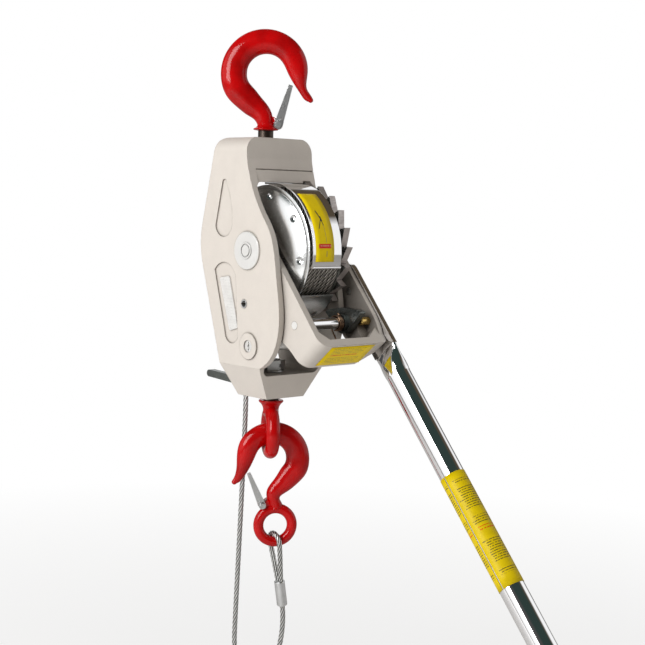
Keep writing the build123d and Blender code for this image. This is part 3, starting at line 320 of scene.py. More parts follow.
def stroke(sh, across, along, start, end, width):
    """1 inside a straight stroke on a label, from its start to its end in the label's own units."""
    (x0, y0), (x1, y1) = start, end
    length = math.hypot(x1 - x0, y1 - y0)
    dx, dy = (x1 - x0) / length, (y1 - y0) / length
    rel_x = sh.math("SUBTRACT", across, x0)
    rel_y = sh.math("SUBTRACT", along, y0)
    reach = sh.math("ADD", sh.math("MULTIPLY", rel_x, dx), sh.math("MULTIPLY", rel_y, dy))
    offset = sh.math("SUBTRACT", sh.math("MULTIPLY", rel_x, dy), sh.math("MULTIPLY", rel_y, dx))
    inside = sh.math("LESS_THAN", sh.math("ABSOLUTE", offset), width / 2)
    started = sh.math("GREATER_THAN", reach, 0.0)
    ended = sh.math("LESS_THAN", reach, length)
    return sh.math("MULTIPLY", inside, sh.math("MULTIPLY", started, ended))


def label_base(name, red, green):
    """Yellow printed film. Its UV is in millimetres: across, then down."""
    sh = Shader(name, (red, green, 0.0), 0.4)
    sh.set("Specular IOR Level", 0.2)
    across, along, _ = sh.uv()
    paper = sh.mix(sh.remap(sh.noise(120, 3), 0.35, 0.7), (red, green, 0.0), (0.91 * red, 0.9 * green, 0.0))
    sh.bump(sh.noise(300, 2), 0.06, 0.1)
    return sh, across, along, paper


def dashes(sh, across, along, pitch, blocks, left, right):
    """Rows of short dashes that only suggest print: no letters. blocks are (from, to) along,
    left is where the rows start and right where the ragged ends of the longest ones lie."""
    row = sh.math("FLOOR", sh.math("DIVIDE", along, pitch))
    phase = sh.math("FRACT", sh.math("DIVIDE", along, pitch))
    line = sh.math("MULTIPLY", sh.math("GREATER_THAN", phase, 0.3), sh.math("LESS_THAN", phase, 0.66))
    place = sh.node("ShaderNodeCombineXYZ")
    sh.plug(place.inputs[0], across)
    sh.plug(place.inputs[1], sh.math("MULTIPLY", row, 7.3))
    words = sh.math("GREATER_THAN", sh.noise(0.9, 1, 0.4, place.outputs[0]), 0.42)
    per_row = sh.noise(1.0, 0, 0.4, sh.stretch((0.0, 1.0, 1.0), place.outputs[0]))
    ragged = sh.math("MULTIPLY_ADD", per_row, 16.0, right - 11)
    span = sh.math("MULTIPLY", sh.math("GREATER_THAN", across, left), sh.math("LESS_THAN", across, ragged))
    inside = 0.0
    for low, high in blocks:
        here = sh.math("MULTIPLY", sh.math("GREATER_THAN", along, low), sh.math("LESS_THAN", along, high))
        inside = sh.math("MAXIMUM", here, inside)
    return sh.math("MULTIPLY", sh.math("MULTIPLY", line, words), sh.math("MULTIPLY", span, inside))


def handle_label_material():
    """Three columns of small rows round the tube, with one red block in each."""
    sh, across, along, color = label_base("handle_label_print", 0.80, 0.60)
    for shift in (0.0, 27.0, 54.0):
        turned = sh.math("SUBTRACT", across, shift)
        paragraphs = ((8, 12), (17, 40), (48, 57), (73, 96), (103, 109))
        black = dashes(sh, turned, along, 2.35, paragraphs, 1.5, 24)
        color = sh.mix(sh.math("MULTIPLY", black, 0.85), color, (0.03, 0.03, 0.02))
        red = dashes(sh, turned, along, 3.2, ((59, 65),), 1.0, 26)
        color = sh.mix(sh.math("MULTIPLY", red, 0.9), color, (0.80, 0.05, 0.0))
    sh.set("Base Color", color)
    return sh.material


def guard_label_material():
    """A generic diagram of two levers and a cable, and a red block, without words."""
    sh, across, along, color = label_base("guard_label_print", 0.98, 0.74)
    strokes = (
        ((9.0, 23.5), (11.6, 31.5), 1.3),
        ((9.6, 26.8), (10.6, 26.0), 2.2),
        ((12.0, 30.0), (12.9, 35.5), 2.0),
        ((12.2, 33.0), (7.0, 43.5), 0.9),
        ((12.6, 34.0), (13.8, 40.0), 1.0),
    )
    for start, end, width in strokes:
        color = sh.mix(stroke(sh, across, along, start, end, width), color, (0.03, 0.03, 0.03))
    upper_cable = stroke(sh, across, along, (13.8, 40), (14.6, 58), 0.4)
    lower_cable = stroke(sh, across, along, (14.6, 66), (14.6, 72), 0.7)
    thin = sh.math("MAXIMUM", upper_cable, lower_cable)
    color = sh.mix(thin, color, (0.30, 0.27, 0.16))
    color = sh.mix(stroke(sh, across, along, (4.0, 61.2), (20.0, 61.2), 4.6), color, (0.78, 0.05, 0.03))
    color = sh.mix(dashes(sh, across, along, 2.3, ((60.2, 62.6),), 6, 24), color, (0.9, 0.45, 0.35))
    sh.set("Base Color", color)
    return sh.material


def yoke_label_material():
    """Grey rows above and below a red one."""
    sh, across, along, color = label_base("yoke_label_print", 0.98, 0.72)
    grey = dashes(sh, across, along, 2.6, ((3, 12), (19, 29)), 6, 52)
    color = sh.mix(sh.math("MULTIPLY", grey, 0.6), color, (0.16, 0.14, 0.05))
    red = dashes(sh, across, along, 4.2, ((12.6, 18),), 8, 46)
    color = sh.mix(sh.math("MULTIPLY", red, 0.9), color, (0.75, 0.06, 0.0))
    sh.set("Base Color", color)
    return sh.material


def nameplate_material():
    """Thin bright plate with faint generic rows."""
    sh = Shader("nameplate_print", (0.86, 0.85, 0.83), 0.4, metallic=0.3)
    _, y, z = sh.split(sh.where)
    across = sh.math("MULTIPLY", y, 1000.0)
    down = sh.math("MULTIPLY", z, -1000.0)
    rows = sh.math("DIVIDE", down, 3.1)
    phase = sh.math("FRACT", rows)
    place = sh.node("ShaderNodeCombineXYZ")
    sh.plug(place.inputs[0], across)
    sh.plug(place.inputs[1], sh.math("MULTIPLY", sh.math("FLOOR", rows), 5.1))
    words = sh.math("GREATER_THAN", sh.noise(0.8, 1, 0.4, place.outputs[0]), 0.5)
    line = sh.math("MULTIPLY", sh.math("GREATER_THAN", phase, 0.35), sh.math("LESS_THAN", phase, 0.6))
    print_mask = sh.math("MULTIPLY", sh.math("MULTIPLY", line, words), 0.12)
    smear = sh.mix(sh.remap(sh.noise(90, 4), 0.4, 0.7), (0.88, 0.87, 0.85), (0.78, 0.77, 0.75))
    sh.set("Base Color", sh.mix(print_mask, smear, (0.25, 0.24, 0.23)))
    sh.set("Roughness", sh.remap(sh.noise(700, 3), 0.3, 0.7, 0.26, 0.46))
    sh.bump(sh.noise(500, 2), 0.1, 0.1)
    return sh.material


def cap_material():
    """Moulded matt black plastic with a faint stipple."""
    sh = Shader("cap_black", (0.018, 0.018, 0.019), 0.55)
    sh.set("Roughness", sh.remap(sh.noise(500, 2), 0.3, 0.7, 0.45, 0.65))
    sh.bump(sh.cells(1100), 0.25, 0.15)
    sh.bump(sh.noise(200, 2), 0.1, 0.3)
    return sh.material


PAINT = (0.72, 0.67, 0.615)
YOKE_PAINT = tuple(0.96 * c for c in PAINT)
# a darker copy of the yoke's paint, painted shade for the walls inside the yoke
YOKE_SHADED_PAINT = tuple(0.36 * c for c in PAINT)
FRAME_EDGE, YOKE_EDGE = (0.34, 0.29, 0.25), (0.36, 0.30, 0.25)
MATERIALS = {
    # the fourth number of each cast paint sets how dark its painted pocket shade gets
    "frame_paint": cast_paint("frame_paint", PAINT, FRAME_EDGE, 0.5),
    "yoke_paint": cast_paint("yoke_paint", YOKE_PAINT, YOKE_EDGE, 0.95, 1.2),
    "yoke_inside_shaded": cast_paint("yoke_inside_shaded", YOKE_SHADED_PAINT, YOKE_EDGE, 0.6, 1.2),
    "hook_enamel": enamel("hook_enamel"),
    "zinc_steel": metal("zinc_steel", (0.72, 0.73, 0.73), 0.34, 0.3, stain=0.14),
    "washer_zinc": metal("washer_zinc", (0.93, 0.92, 0.90), 0.55, 0.2, stain=0.05, bevel=0.3),
    "drum_zinc": metal("drum_zinc", (0.84, 0.85, 0.85), 0.22, 0.25, stain=0.06, bevel=0.0),
    "polished_steel": metal("polished_steel", (0.90, 0.90, 0.91), 0.05, 0.10, stain=0.02, bevel=0.0),
    "guard_steel": metal("guard_steel", (0.86, 0.86, 0.87), 0.07, 0.12, (1, 0.1, 0.1), 0.03, 0.3),
    "dark_steel": metal("dark_steel", (0.20, 0.215, 0.205), 0.34, 0.5, stain=0.35),
    "shank_steel": metal("shank_steel", (0.075, 0.06, 0.05), 0.42, 0.5, stain=0.3),
    "wheel_lands": metal("wheel_lands", (0.60, 0.55, 0.53), 0.5, 0.6, (0.2, 1, 1), 0.2),
    "wheel_sides": metal("wheel_sides", (0.52, 0.55, 0.55), 0.22, 0.35, stain=0.45),
    # for the ropes: the dark colour is painted shade between the strands, the light one a painted highlight
    # on their crowns
    "rope_steel": greasy_rope("rope_steel", (0.14, 0.145, 0.14), (0.97, 0.97, 0.95), 0.38),
    "wound_rope": greasy_rope("wound_rope", (0.025, 0.022, 0.02), (0.75, 0.70, 0.64), 0.36),
    "brass_parts": metal("brass_parts", (0.72, 0.50, 0.16), 0.26, 0.4, stain=0.2),
    "copper_spring": metal("copper_spring", (0.46, 0.29, 0.19), 0.3, 0.4, stain=0.4, bevel=0.0),
    "nameplate": nameplate_material(),
    "handle_label": handle_label_material(),
    "guard_label": guard_label_material(),
    "yoke_label": yoke_label_material(),
    "cap_black": cap_material(),
}

NODE_MATERIALS = {
    "frame_paint": ["frame_casting"],
    "yoke_paint": ["yoke_casting"],
    "hook_enamel": ["top_hook", "lower_hook", "anchor_eye"],
    "zinc_steel": [
        "end_washer", "top_latch", "lower_latch", "top_latch_pin", "lower_latch_pin",
        "guard_screws", "handle_bolts", "handle_washers", "handle_nuts", "top_roll_pin", "anchor_roll_pin",
        "lower_guard", "swage_sleeve", "anchor_nut", "anchor_washer", "stop_pin",
    ],
    "washer_zinc": ["axle_washer", "drum_axle", "drum_rivets", "holding_pawl_shaft"],
    "drum_zinc": ["drum_flange"],
    "polished_steel": ["handle_tube", "operating_pawl_shaft"],
    "guard_steel": ["drum_guard"],
    "dark_steel": [
        "operating_pawl", "holding_pawl", "release_arm", "reverse_lever", "lever_pin", "retaining_ring",
        "drum_spool", "top_hook_nut", "top_thrust_washer",
    ],
    "wheel_sides": ["ratchet_wheel"],
    "brass_parts": ["detent_plunger", "drum_bush", "yoke_bushes"],
    "nameplate": ["nameplate"],
    "cap_black": ["handle_end_cap"],
}


for material_name, node_names in NODE_MATERIALS.items():
    for node_name in node_names:
        slots = NODES[node_name].data.materials
        slots.clear()
        slots.append(MATERIALS[material_name])


def second_material(node, material, chosen):
    """Gives the faces for which chosen(polygon) is true a second material."""
    mesh = NODES[node].data
    mesh.materials.append(MATERIALS[material])
    for polygon in mesh.polygons:
        if chosen(polygon):
            polygon.material_index = 1


frame_low, frame_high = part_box("frame_casting")
yoke_low, yoke_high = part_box("yoke_casting")
yoke_middle = (yoke_low.x + yoke_high.x) / 2
FACING = 0.9                                   # the least cosine of a face that looks one way


def inside_yoke(polygon):
    """The yoke's inner walls: its arms' faces towards its middle, and the end wall's towards the axle."""
    towards_middle = polygon.normal.x * (polygon.center.x - yoke_middle) < 0
    return polygon.normal.dot(ALONG) < -FACING or (abs(polygon.normal.x) > FACING and towards_middle)


# the wheel's tooth faces are matt and pinkish, its sides bright; the pawl shaft's end is dull;
# the walls inside the yoke get a darker copy of its paint as painted shade; plain steel shanks below the
# enamel
second_material("ratchet_wheel", "wheel_lands", lambda p: abs(p.normal.x) < 0.5)
second_material("yoke_casting", "yoke_inside_shaded", inside_yoke)
second_material("operating_pawl_shaft", "washer_zinc", lambda p: p.normal.x < -FACING)
top_shank_z = frame_high.z + 7.9 * MM
second_material("top_hook", "shank_steel", lambda p: p.center.z < top_shank_z)
anchor_shank_z = frame_low.z - 4.6 * MM
second_material("anchor_eye", "shank_steel", lambda p: p.center.z > anchor_shank_z)


# a narrow real round on every sharp edge of the castings, inside their own boxes
for casting in ("frame_casting", "yoke_casting"):
    edge_round = NODES[casting].modifiers.new("edge_round", "BEVEL")
    edge_round.width = 0.9 * MM
    edge_round.segments = 3
    edge_round.limit_method = "ANGLE"
    edge_round.angle_limit = math.radians(32)


# ------------------------------------------------------------------ mesh builders
def new_object(name, verts, faces, material, body, uvs=None):
    """A mesh piece. uvs is one pair per corner of each face, in the faces' order."""
    mesh = bpy.data.meshes.new(name)
    mesh.from_pydata([tuple(v) for v in verts], [], faces)
    if uvs is not None:
        layer = mesh.uv_layers.new(name="UVMap")
        layer.data.foreach_set("uv", np.asarray(uvs, np.float32).ravel())
    mesh.polygons.foreach_set("use_smooth", [True] * len(mesh.polygons))
    mesh.update()
    obj = bpy.data.objects.new(name, mesh)
    bpy.context.scene.collection.objects.link(obj)
    obj.data.materials.append(MATERIALS[material])
    if body:
        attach(obj, body)
    return obj


def length_along(points):
    """The distance travelled along a path at each of its points."""
    return np.concatenate([[0], np.cumsum(np.linalg.norm(np.diff(points, axis=0), axis=1))])


def frames_along(points):
    """Tangents and two steady cross directions for each point of a path."""
    tangents = np.gradient(points, axis=0)
    tangents /= np.linalg.norm(tangents, axis=1)[:, None]
    start = np.cross(tangents[0], (1.0, 0.3, 0.2))
    sides = np.zeros_like(points)
    side = start / np.linalg.norm(start)
    for index, tangent in enumerate(tangents):
        side = side - tangent * (side @ tangent)
        side = side / np.linalg.norm(side)
        sides[index] = side
    return tangents, sides, np.cross(tangents, sides)


def tube_rings(points, radius, ring, outward=None):
    """Vertices, faces and corner UVs of one round tube along a path, closed at both ends.
    u is 0 on the side that faces outward."""
    points = np.asarray(points, float)
    tangents, sides, others = frames_along(points)
    if outward is not None:
        sides = outward - tangents * np.sum(outward * tangents, axis=1)[:, None]
        sides /= np.linalg.norm(sides, axis=1)[:, None]
        others = np.cross(tangents, sides)
    turn = np.linspace(0, 2 * math.pi, ring, endpoint=False)
    cosines, sines = np.cos(turn)[None, :, None], np.sin(turn)[None, :, None]
    circle = cosines * sides[:, None, :] + sines * others[:, None, :]
    verts = (points[:, None, :] + circle * radius).reshape(-1, 3)
    v_values = length_along(points) / (2 * math.pi * radius)
    faces, uvs = [], []
    for step in range(len(points) - 1):
        here, there = step * ring, (step + 1) * ring
        v0, v1 = v_values[step], v_values[step + 1]
        for k in range(ring):
            nxt = (k + 1) % ring
            faces.append((here + k, here + nxt, there + nxt, there + k))
            low, high = k / ring, (k + 1) / ring
            uvs += [(low, v0), (high, v0), (high, v1), (low, v1)]
    for cap in (list(range(ring))[::-1], [(len(points) - 1) * ring + k for k in range(ring)]):
        faces.append(tuple(cap))
        uvs += [(0.0, 0.0)] * ring
    return verts, faces, uvs


def tubes(name, paths, radius, material, body, ring):
    """One mesh piece made of round tubes along several (path, outward) pairs."""
    verts, faces, uvs = [], [], []
    for path, outward in paths:
        v, f, t = tube_rings(path, radius, ring, outward)
        shift = len(verts)
        verts += list(v)
        faces += [tuple(index + shift for index in face) for face in f]
        uvs += t
    return new_object(name, verts, faces, material, body, uvs)


def strand_rope(name, path, material, body, ring=8):
    """A rope along a path: a core with strands twisted round it."""
    _, sides, others = frames_along(path)
    length = length_along(path)
    lines = [(path, None)]
    for number in range(STRANDS):
        phase = 2 * math.pi * (length / ROPE_LAY + number / STRANDS)
        outward = np.cos(phase)[:, None] * sides + np.sin(phase)[:, None] * others
        lines.append((path + outward * ROPE_R * 2 / 3, outward))
    return tubes(name, lines, ROPE_R / 3 * 1.03, material, body, ring)


def resample(points, step):
    """A path through the same places with evenly spaced points."""
    points = np.asarray([tuple(p) for p in points], float)
    length = length_along(points)
    count = max(3, int(length[-1] / step) + 1)
    at = np.linspace(0, length[-1], count)
    return np.stack([np.interp(at, length, points[:, axis]) for axis in range(3)], axis=1)


def curve_through(knots):
    """Smooth path through (place, direction) pairs; a direction's length sets how far it reaches."""
    points = []
    for (p0, d0), (p1, d1) in zip(knots, knots[1:]):
        for t in np.linspace(0, 1, 60, endpoint=False):
            t2, t3 = t * t, t ** 3
            from_start = p0 * (2 * t3 - 3 * t2 + 1) + d0 * (t3 - 2 * t2 + t)
            to_end = p1 * (3 * t2 - 2 * t3) + d1 * (t3 - t2)
            points.append(from_start + to_end)
    points.append(knots[-1][0])
    return resample(points, PATH_STEP)


def box_centre(node):
    low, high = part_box(node)
    return (low + high) / 2


# ------------------------------------------------------------------ the cable
run_low, run_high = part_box("cable_standing_run")
bend_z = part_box("cable_return_run")[0].z + ROPE_R
wrap_low, wrap_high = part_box("cable_wraps")

face_normal = Vector(JOINTS["lower_hook_swing"]["axis"])      # towards the lower hook's face
hook_side = Vector((-face_normal.y, face_normal.x, 0))
LEAN = math.radians(8)                                         # of the loop and sleeve
down = hook_side * math.sin(LEAN) - Vector((0, 0, math.cos(LEAN)))
sleeve_centre = box_centre("swage_sleeve")
SLEEVE_HALF = 13.5 * MM
sleeve_top = sleeve_centre - down * SLEEVE_HALF
sleeve_end = sleeve_centre + down * SLEEVE_HALF

# the standing run leaves the drum behind, hangs down and turns back up to the sleeve
wrap_r = (wrap_high.z - wrap_low.z) / 2 - ROPE_R
tangent_point = Vector((run_high.x - ROPE_R, AXLE.y + wrap_r, AXLE.z + 4 * MM))
run_top = Vector((tangent_point.x, AXLE.y + 59.6 * MM, run_high.z - 3 * MM))
run_middle = Vector((tangent_point.x, run_low.y + ROPE_R, AXLE.z - 160 * MM))
run_end = Vector((tangent_point.x, run_high.y - ROPE_R, run_low.z))
bend_bottom = Vector(((run_end.x + sleeve_end.x) / 2, (run_end.y + sleeve_end.y) / 2, bend_z))
bend_reach = 1.1 * Vector((sleeve_end.x - run_end.x, sleeve_end.y - run_end.y, 0))

standing_path = curve_through([
    (tangent_point, Vector((0, 0, -0.036))),
    (run_top, Vector((0, -0.006, -0.05))),
    (run_middle, Vector((0, -0.001, -0.14))),
    (run_end, Vector((0, 0.001, -0.09))),
    (bend_bottom, bend_reach),
])
return_path = curve_through([
    (bend_bottom, bend_reach),
    (sleeve_end, -down * 0.10),
])

rope_run = strand_rope("rope_standing_run", standing_path, "rope_steel", None)
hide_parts("cable_standing_run")
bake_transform(rope_run)
rope_return = strand_rope("rope_return_run", return_path, "rope_steel", None)
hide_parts("cable_return_run")
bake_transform(rope_return)

# the end loop: an arch over the bar of the hook's eye, and two legs that close at the sleeve
LOOP_R = 9.2
LOOP_TURN = math.radians(24)
LEG_LENGTH = 43
eye_bar = sleeve_top - down * LEG_LENGTH * MM
loop_out = face_normal * math.cos(LOOP_TURN) + hook_side * math.sin(LOOP_TURN)


def loop_place(out, along):
    """A point in the end loop's plane: across it and down the leaning rope, in mm."""
    return eye_bar + loop_out * out * MM + down * along * MM


arch = [loop_place(LOOP_R * math.cos(a), -LOOP_R * math.sin(a)) for a in np.linspace(0, math.pi, 25)]
sleeve_depth = LEG_LENGTH + 1
near_leg = curve_through([
    (loop_place(3.0, sleeve_depth), -down * 0.02),
    (loop_place(LOOP_R, 0), -down * 0.026),
])
far_leg = curve_through([
    (loop_place(-LOOP_R, 0), down * 0.026),
    (loop_place(-3.0, sleeve_depth), down * 0.02),
])
loop_path = resample([*near_leg[:-1], *arch, *far_leg[1:]], PATH_STEP)
rope_loop = strand_rope("rope_end_loop", loop_path, "rope_steel", "lower_hook")
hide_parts("cable_end_loop")

# the cable wound on the drum, laid turn by turn, over an older layer
turn_pitch = (wrap_high.x - wrap_low.x) / TURNS


def drum_helix(start_x, turns, start_angle, step):
    """The cable's path round the drum axle."""
    count = int(turns * 2 * math.pi * wrap_r / step)
    turned = np.linspace(0, turns * 2 * math.pi, count)
    angles = turned + start_angle
    xs = start_x + turn_pitch * turned / (2 * math.pi)
    return np.stack([xs, AXLE.y - wrap_r * np.cos(angles), AXLE.z + wrap_r * np.sin(angles)], axis=1)


first_x = wrap_low.x + turn_pitch / 2
wound = drum_helix(first_x, TURNS - 1, math.radians(200), 2.4 * MM)
rope_wound = strand_rope("rope_wound_layer", wound, "wound_rope", "drum", ring=6)
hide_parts("cable_wraps")


def lathe(name, profile, material, body, steps=96):
    """A piece turned about the drum axle from (x, radius) points, closed on itself."""
    count = len(profile)
    verts = [drum_point(x, r, 2 * math.pi * k / steps) for k in range(steps) for x, r in profile]
    faces = []
    for k in range(steps):
        here, there = k * count, (k + 1) % steps * count
        for j in range(count):
            j2 = (j + 1) % count
            faces.append((here + j, here + j2, there + j2, there + j))
    new_object(name, verts, faces, material, body)


core_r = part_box("drum_spool")[1].z - AXLE.z + 0.3 * MM
under_r = wrap_r - ROPE_R * 0.55
ribs = []
for half_turn in range(2 * TURNS + 1):
    valley = 0.9 * MM if half_turn % 2 == 0 else 0
    ribs.append((wrap_low.x + turn_pitch * half_turn / 2, under_r - valley))
under_profile = [(wrap_low.x + 0.2 * MM, core_r), *ribs, (wrap_high.x - 0.2 * MM, core_r)]
lathe("rope_under_layers", under_profile, "wound_rope", "drum")


# ------------------------------------------------------------------ springs of real wire
def wire_spring(name, node, centre, axis, toward, shape, first_leg, last_leg, material, body):
    """A torsion spring: coils about axis from centre, starting on the side it looks toward, with
    straight legs to two end points. shape is the coil radius, wire radius, turns and pitch."""
    coil_r, wire_r, turns, pitch = shape
    first = (toward - axis * toward.dot(axis)).normalized()
    second = axis.cross(first)
    points = [first_leg]
    for k in range(int(turns * 24) + 1):
        a = 2 * math.pi * k / 24
        points.append(centre + (first * math.cos(a) + second * math.sin(a)) * coil_r + axis * pitch * k / 24)
    if last_leg is not None:
        points.append(last_leg)
    piece = tubes(name, [(resample(points, wire_r * 0.9), None)], wire_r, material, body, 8)
    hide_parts(node)


LATCH_COIL = (2.75 * MM, 0.5 * MM, 2.25, 1.05 * MM)
PAWL_COIL = (7.4 * MM, 0.88 * MM, 3.4, 1.85 * MM)


def latch_spring(name, node, latch_joint, latch_leg, hook_leg, body):
    """A small spring on a latch's pin. latch_leg is how far its leg reaches sideways and up along
    the latch, and hook_leg how far the other one reaches sideways to the hook, in mm."""
    normal = Vector(JOINTS[latch_joint]["axis"]).normalized()
    if normal.y > 0:
        normal = -normal
    centre = box_centre(node) - normal * 0.55 * MM
    side = Vector((-normal.y, normal.x, 0)).normalized()
    leg = side * latch_leg[0] * MM + Vector((0, 0, latch_leg[1] * MM))
    first_leg = centre + side * hook_leg * MM + Vector((0, 0, 6.5 * MM)) - normal * 2.5 * MM
    last_leg = centre + leg + normal * 1.6 * MM
    wire_spring(name, node, centre, normal, leg, LATCH_COIL, first_leg, last_leg, "zinc_steel", body)


latch_spring("latch_coil_top", "top_latch_spring", "top_latch_open", (3.4, 6.0), -4.6, "top_hook")
latch_spring("latch_coil_lower", "lower_latch_spring", "lower_latch_open", (-3.4, 5.4), 4.6, "lower_hook")


def pawl_spring(name, node, pawl_joint, toward, first_leg, last_leg, body):
    """A heavy spring round a pawl's shaft, along the axle's direction."""
    shaft = Vector(JOINTS[pawl_joint]["pos_m"])
    centre = Vector((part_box(node)[0].x + 1.0 * MM, shaft.y, shaft.z))
    wire_spring(
        name, node, centre, Vector((1, 0, 0)), toward, PAWL_COIL, first_leg, last_leg, "copper_spring", body)


low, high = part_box("operating_pawl_spring")
pawl_spring(
    "pawl_coil_operating", "operating_pawl_spring", "operating_pawl_tilt", -ABOVE,
    arm_point(low.x + 0.9 * MM, 121, -5.2), arm_point(high.x - 0.6 * MM, 88, 9), "handle")
hold_at = Vector(JOINTS["holding_pawl_tilt"]["pos_m"])
hold_leg = Vector((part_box("holding_pawl_spring")[0].x + 0.9 * MM, hold_at.y + 16 * MM, hold_at.z - 6 * MM))
pawl_spring(
    "pawl_coil_holding", "holding_pawl_spring", "holding_pawl_tilt", Vector((0, 0, -1)),
    hold_leg, None, "frame")


# ------------------------------------------------------------------ labels
def film(name, rows, size_mm, material, body):
    """A thin label over a grid of points, rows from top to bottom, with UVs in mm."""
    count_v, count_u = len(rows), len(rows[0])
    verts = [point for row in rows for point in row]
    faces, uvs = [], []
    for j in range(count_v - 1):
        for i in range(count_u - 1):
            corners = ((i, j), (i, j + 1), (i + 1, j + 1), (i + 1, j))
            faces.append(tuple(v * count_u + u for u, v in corners))
            uvs += [(u / (count_u - 1) * size_mm[0], v / (count_v - 1) * size_mm[1]) for u, v in corners]
    piece = new_object(name, verts, faces, material, body, uvs)
    thick = piece.modifiers.new("film", "SOLIDIFY")
    thick.thickness = 0.16 * MM
    thick.offset = -1


# on the guard over the drum
guard_r = (71.4 + LABEL_LIFT) * MM
guard_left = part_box("drum_guard")[0].x
guard_x = np.linspace(guard_left + 3 * MM, guard_left + 27.5 * MM, 5)
guard_turns = np.radians(np.linspace(55, -6.8, 41))
guard_rows = [[drum_point(x, guard_r, turn) for x in guard_x] for turn in guard_turns]
film("label_guard", guard_rows, (24.5, 77), "guard_label", "frame")

# on the yoke's end wall
yoke_x = np.linspace(-20 * MM, 39 * MM, 9)
yoke_rows = [[arm_point(x, YOKE_END + LABEL_LIFT, up) for x in yoke_x] for up in np.linspace(20.6, -10.8, 7)]
film("label_yoke", yoke_rows, (59, 31.4), "yoke_label", "handle")

# wrapped round the handle tube, from its far side
tube_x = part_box("handle_tube")[1].x - TUBE_R * MM
film_r = TUBE_R + LABEL_LIFT


def on_tube(along, turn):
    """A point of the film round the tube."""
    return arm_point(tube_x - film_r * MM * math.cos(turn), along, TUBE_UP - film_r * math.sin(turn))


tube_turns = np.linspace(0, 2 * math.pi * 0.985, 65)
handle_rows = [[on_tube(along, turn) for turn in tube_turns] for along in np.linspace(288, 409, 13)]
film("label_handle", handle_rows, (81, 121), "handle_label", "handle")


# ------------------------------------------------------------------ stage, light and camera
FLOOR_DROP = 0.10                              # the winch hangs this far above the floor
FLOOR_HALF = 6
corners = [(FLOOR_HALF * x, FLOOR_HALF * y, 0) for x, y in ((-1, -1), (1, -1), (1, 1), (-1, 1))]
floor_mesh = bpy.data.meshes.new("floor")
floor_mesh.from_pydata(corners, [], [(0, 1, 2, 3)])
floor = bpy.data.objects.new("floor", floor_mesh)
floor.location.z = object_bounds()[0].z - FLOOR_DROP
bpy.context.scene.collection.objects.link(floor)
floor_shader = Shader("floor_paper", (0.93, 0.93, 0.93), 0.9)
floor_shader.bump(floor_shader.noise(40, 2), 0.03, 0.5)
floor.data.materials.append(floor_shader.material)


def fade_floor(sh):
    """The paper brightens to the backdrop's white away from the middle, for the camera only."""
    glow = sh.node("ShaderNodeEmission")
    distance = sh.node("ShaderNodeVectorMath", operation="LENGTH")
    sh.plug(distance.inputs[0], sh.where)
    share = sh.remap(distance.outputs["Value"], 0.15, 1.5, 0.66, 1.0)
    seen = sh.node("ShaderNodeLightPath").outputs["Is Camera Ray"]
    paper = sh.tree.nodes["Material Output"].inputs["Surface"]
    sh.plug(paper, sh.mix_shaders(sh.math("MULTIPLY", share, seen), sh.base.outputs[0], glow.outputs[0]))


fade_floor(floor_shader)


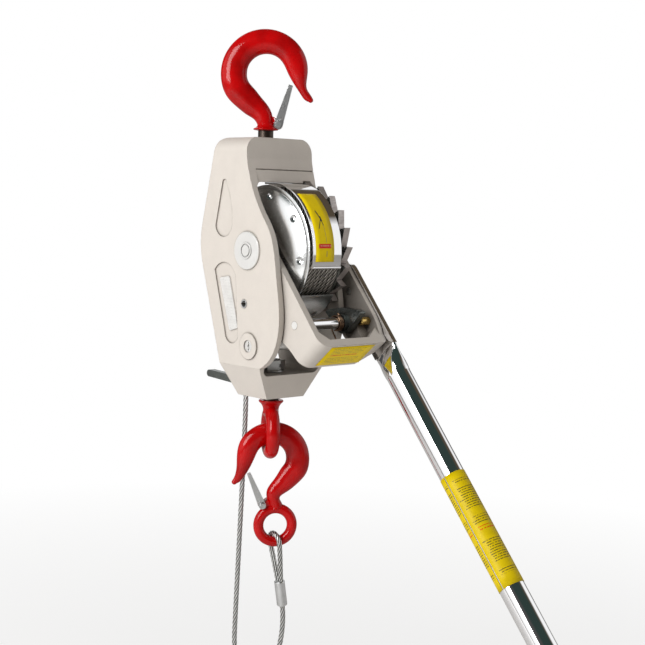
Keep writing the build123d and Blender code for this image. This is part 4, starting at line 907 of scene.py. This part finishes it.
def studio_world():
    """White to the camera, soft grey light for matt surfaces, and for shiny ones a studio with
    a softbox on the left, a white backdrop, and dark ceiling and front."""
    world = bpy.data.worlds.new("studio")
    bpy.context.scene.world = world
    world.use_nodes = True
    sh = Nodes(world.node_tree)
    output = sh.tree.nodes["World Output"].inputs["Surface"]
    rays = sh.node("ShaderNodeLightPath")
    x, y, z = sh.split(sh.node("ShaderNodeTexCoord").outputs["Generated"])
    turn = sh.math("MULTIPLY", sh.math("ARCTAN2", x, y), 180 / math.pi)      # from +Y towards +X
    rise = sh.math("MULTIPLY", sh.math("ARCSINE", z), 180 / math.pi)
    panels = ((-100, -34, 6, 1.0), (20, 62, 3, 0.92), (84, 152, 8, 0.95))    # from, to, soft, bright
    level_light = 0.07
    for start, end, soft, bright in panels:
        level_light = sh.math("MULTIPLY_ADD", sh.window(turn, start, end, soft), bright, level_light)
    grey = sh.node("ShaderNodeCombineXYZ")
    for socket in grey.inputs:
        sh.plug(socket, level_light)
    ceiling = sh.mix(sh.window(turn, 50, 140, 12), (0.030, 0.050, 0.045), (0.085, 0.065, 0.045))
    around = sh.mix(sh.remap(rise, 32, 40), grey.outputs[0], ceiling)
    around = sh.mix(sh.remap(rise, -22, -34), around, (0.42, 0.42, 0.41))

    def light(color, strength):
        made = sh.node("ShaderNodeBackground")
        sh.plug(made.inputs["Color"], color)
        sh.plug(made.inputs["Strength"], strength)
        return made.outputs[0]

    matt = light(sh.rgb((1.0, 0.95, 0.89)), 0.33)
    shiny = sh.mix_shaders(rays.outputs["Is Glossy Ray"], matt, light(around, 1.0))
    sh.plug(output, sh.mix_shaders(rays.outputs["Is Camera Ray"], shiny, light(sh.rgb((1, 1, 1)), 1.0)))


def area_light(name, place, target, size, power, color=(1, 1, 1)):
    data = bpy.data.lights.new(name, "AREA")
    data.shape = "RECTANGLE"
    data.size, data.size_y = size
    data.energy = power
    data.color = color
    lamp = bpy.data.objects.new(name, data)
    lamp.location = place
    lamp.rotation_euler = (Vector(target) - Vector(place)).to_track_quat("-Z", "Y").to_euler()
    bpy.context.scene.collection.objects.link(lamp)


studio_world()
middle = (CAD_BOX[0] + CAD_BOX[1]) / 2
area_light("key", (-2.1, -0.2, 0.6), middle, (1.0, 1.5), 40)
area_light("front_fill", (1.0, -1.7, -1.6), middle, (1.2, 1.6), 24, (1.0, 0.95, 0.89))

camera_data = bpy.data.cameras.new("camera")
camera = bpy.data.objects.new("camera", camera_data)
bpy.context.scene.collection.objects.link(camera)
bpy.context.scene.camera = camera
AZIMUTH, ELEVATION, ROLL = math.radians(42.56), math.radians(5.19), math.radians(1.53)
forward = Vector((
    math.sin(AZIMUTH) * math.cos(ELEVATION), math.cos(AZIMUTH) * math.cos(ELEVATION), -math.sin(ELEVATION)))
camera.location = (-0.9125, -1.0889, -0.1488)
camera_data.lens = 75.4
camera_data.sensor_width = 36
camera.rotation_mode = "QUATERNION"
level = forward.to_track_quat("-Z", "Y")
camera.rotation_quaternion = level @ Matrix.Rotation(ROLL, 3, "Z").to_quaternion()
bpy.context.scene.view_settings.view_transform = "Standard"
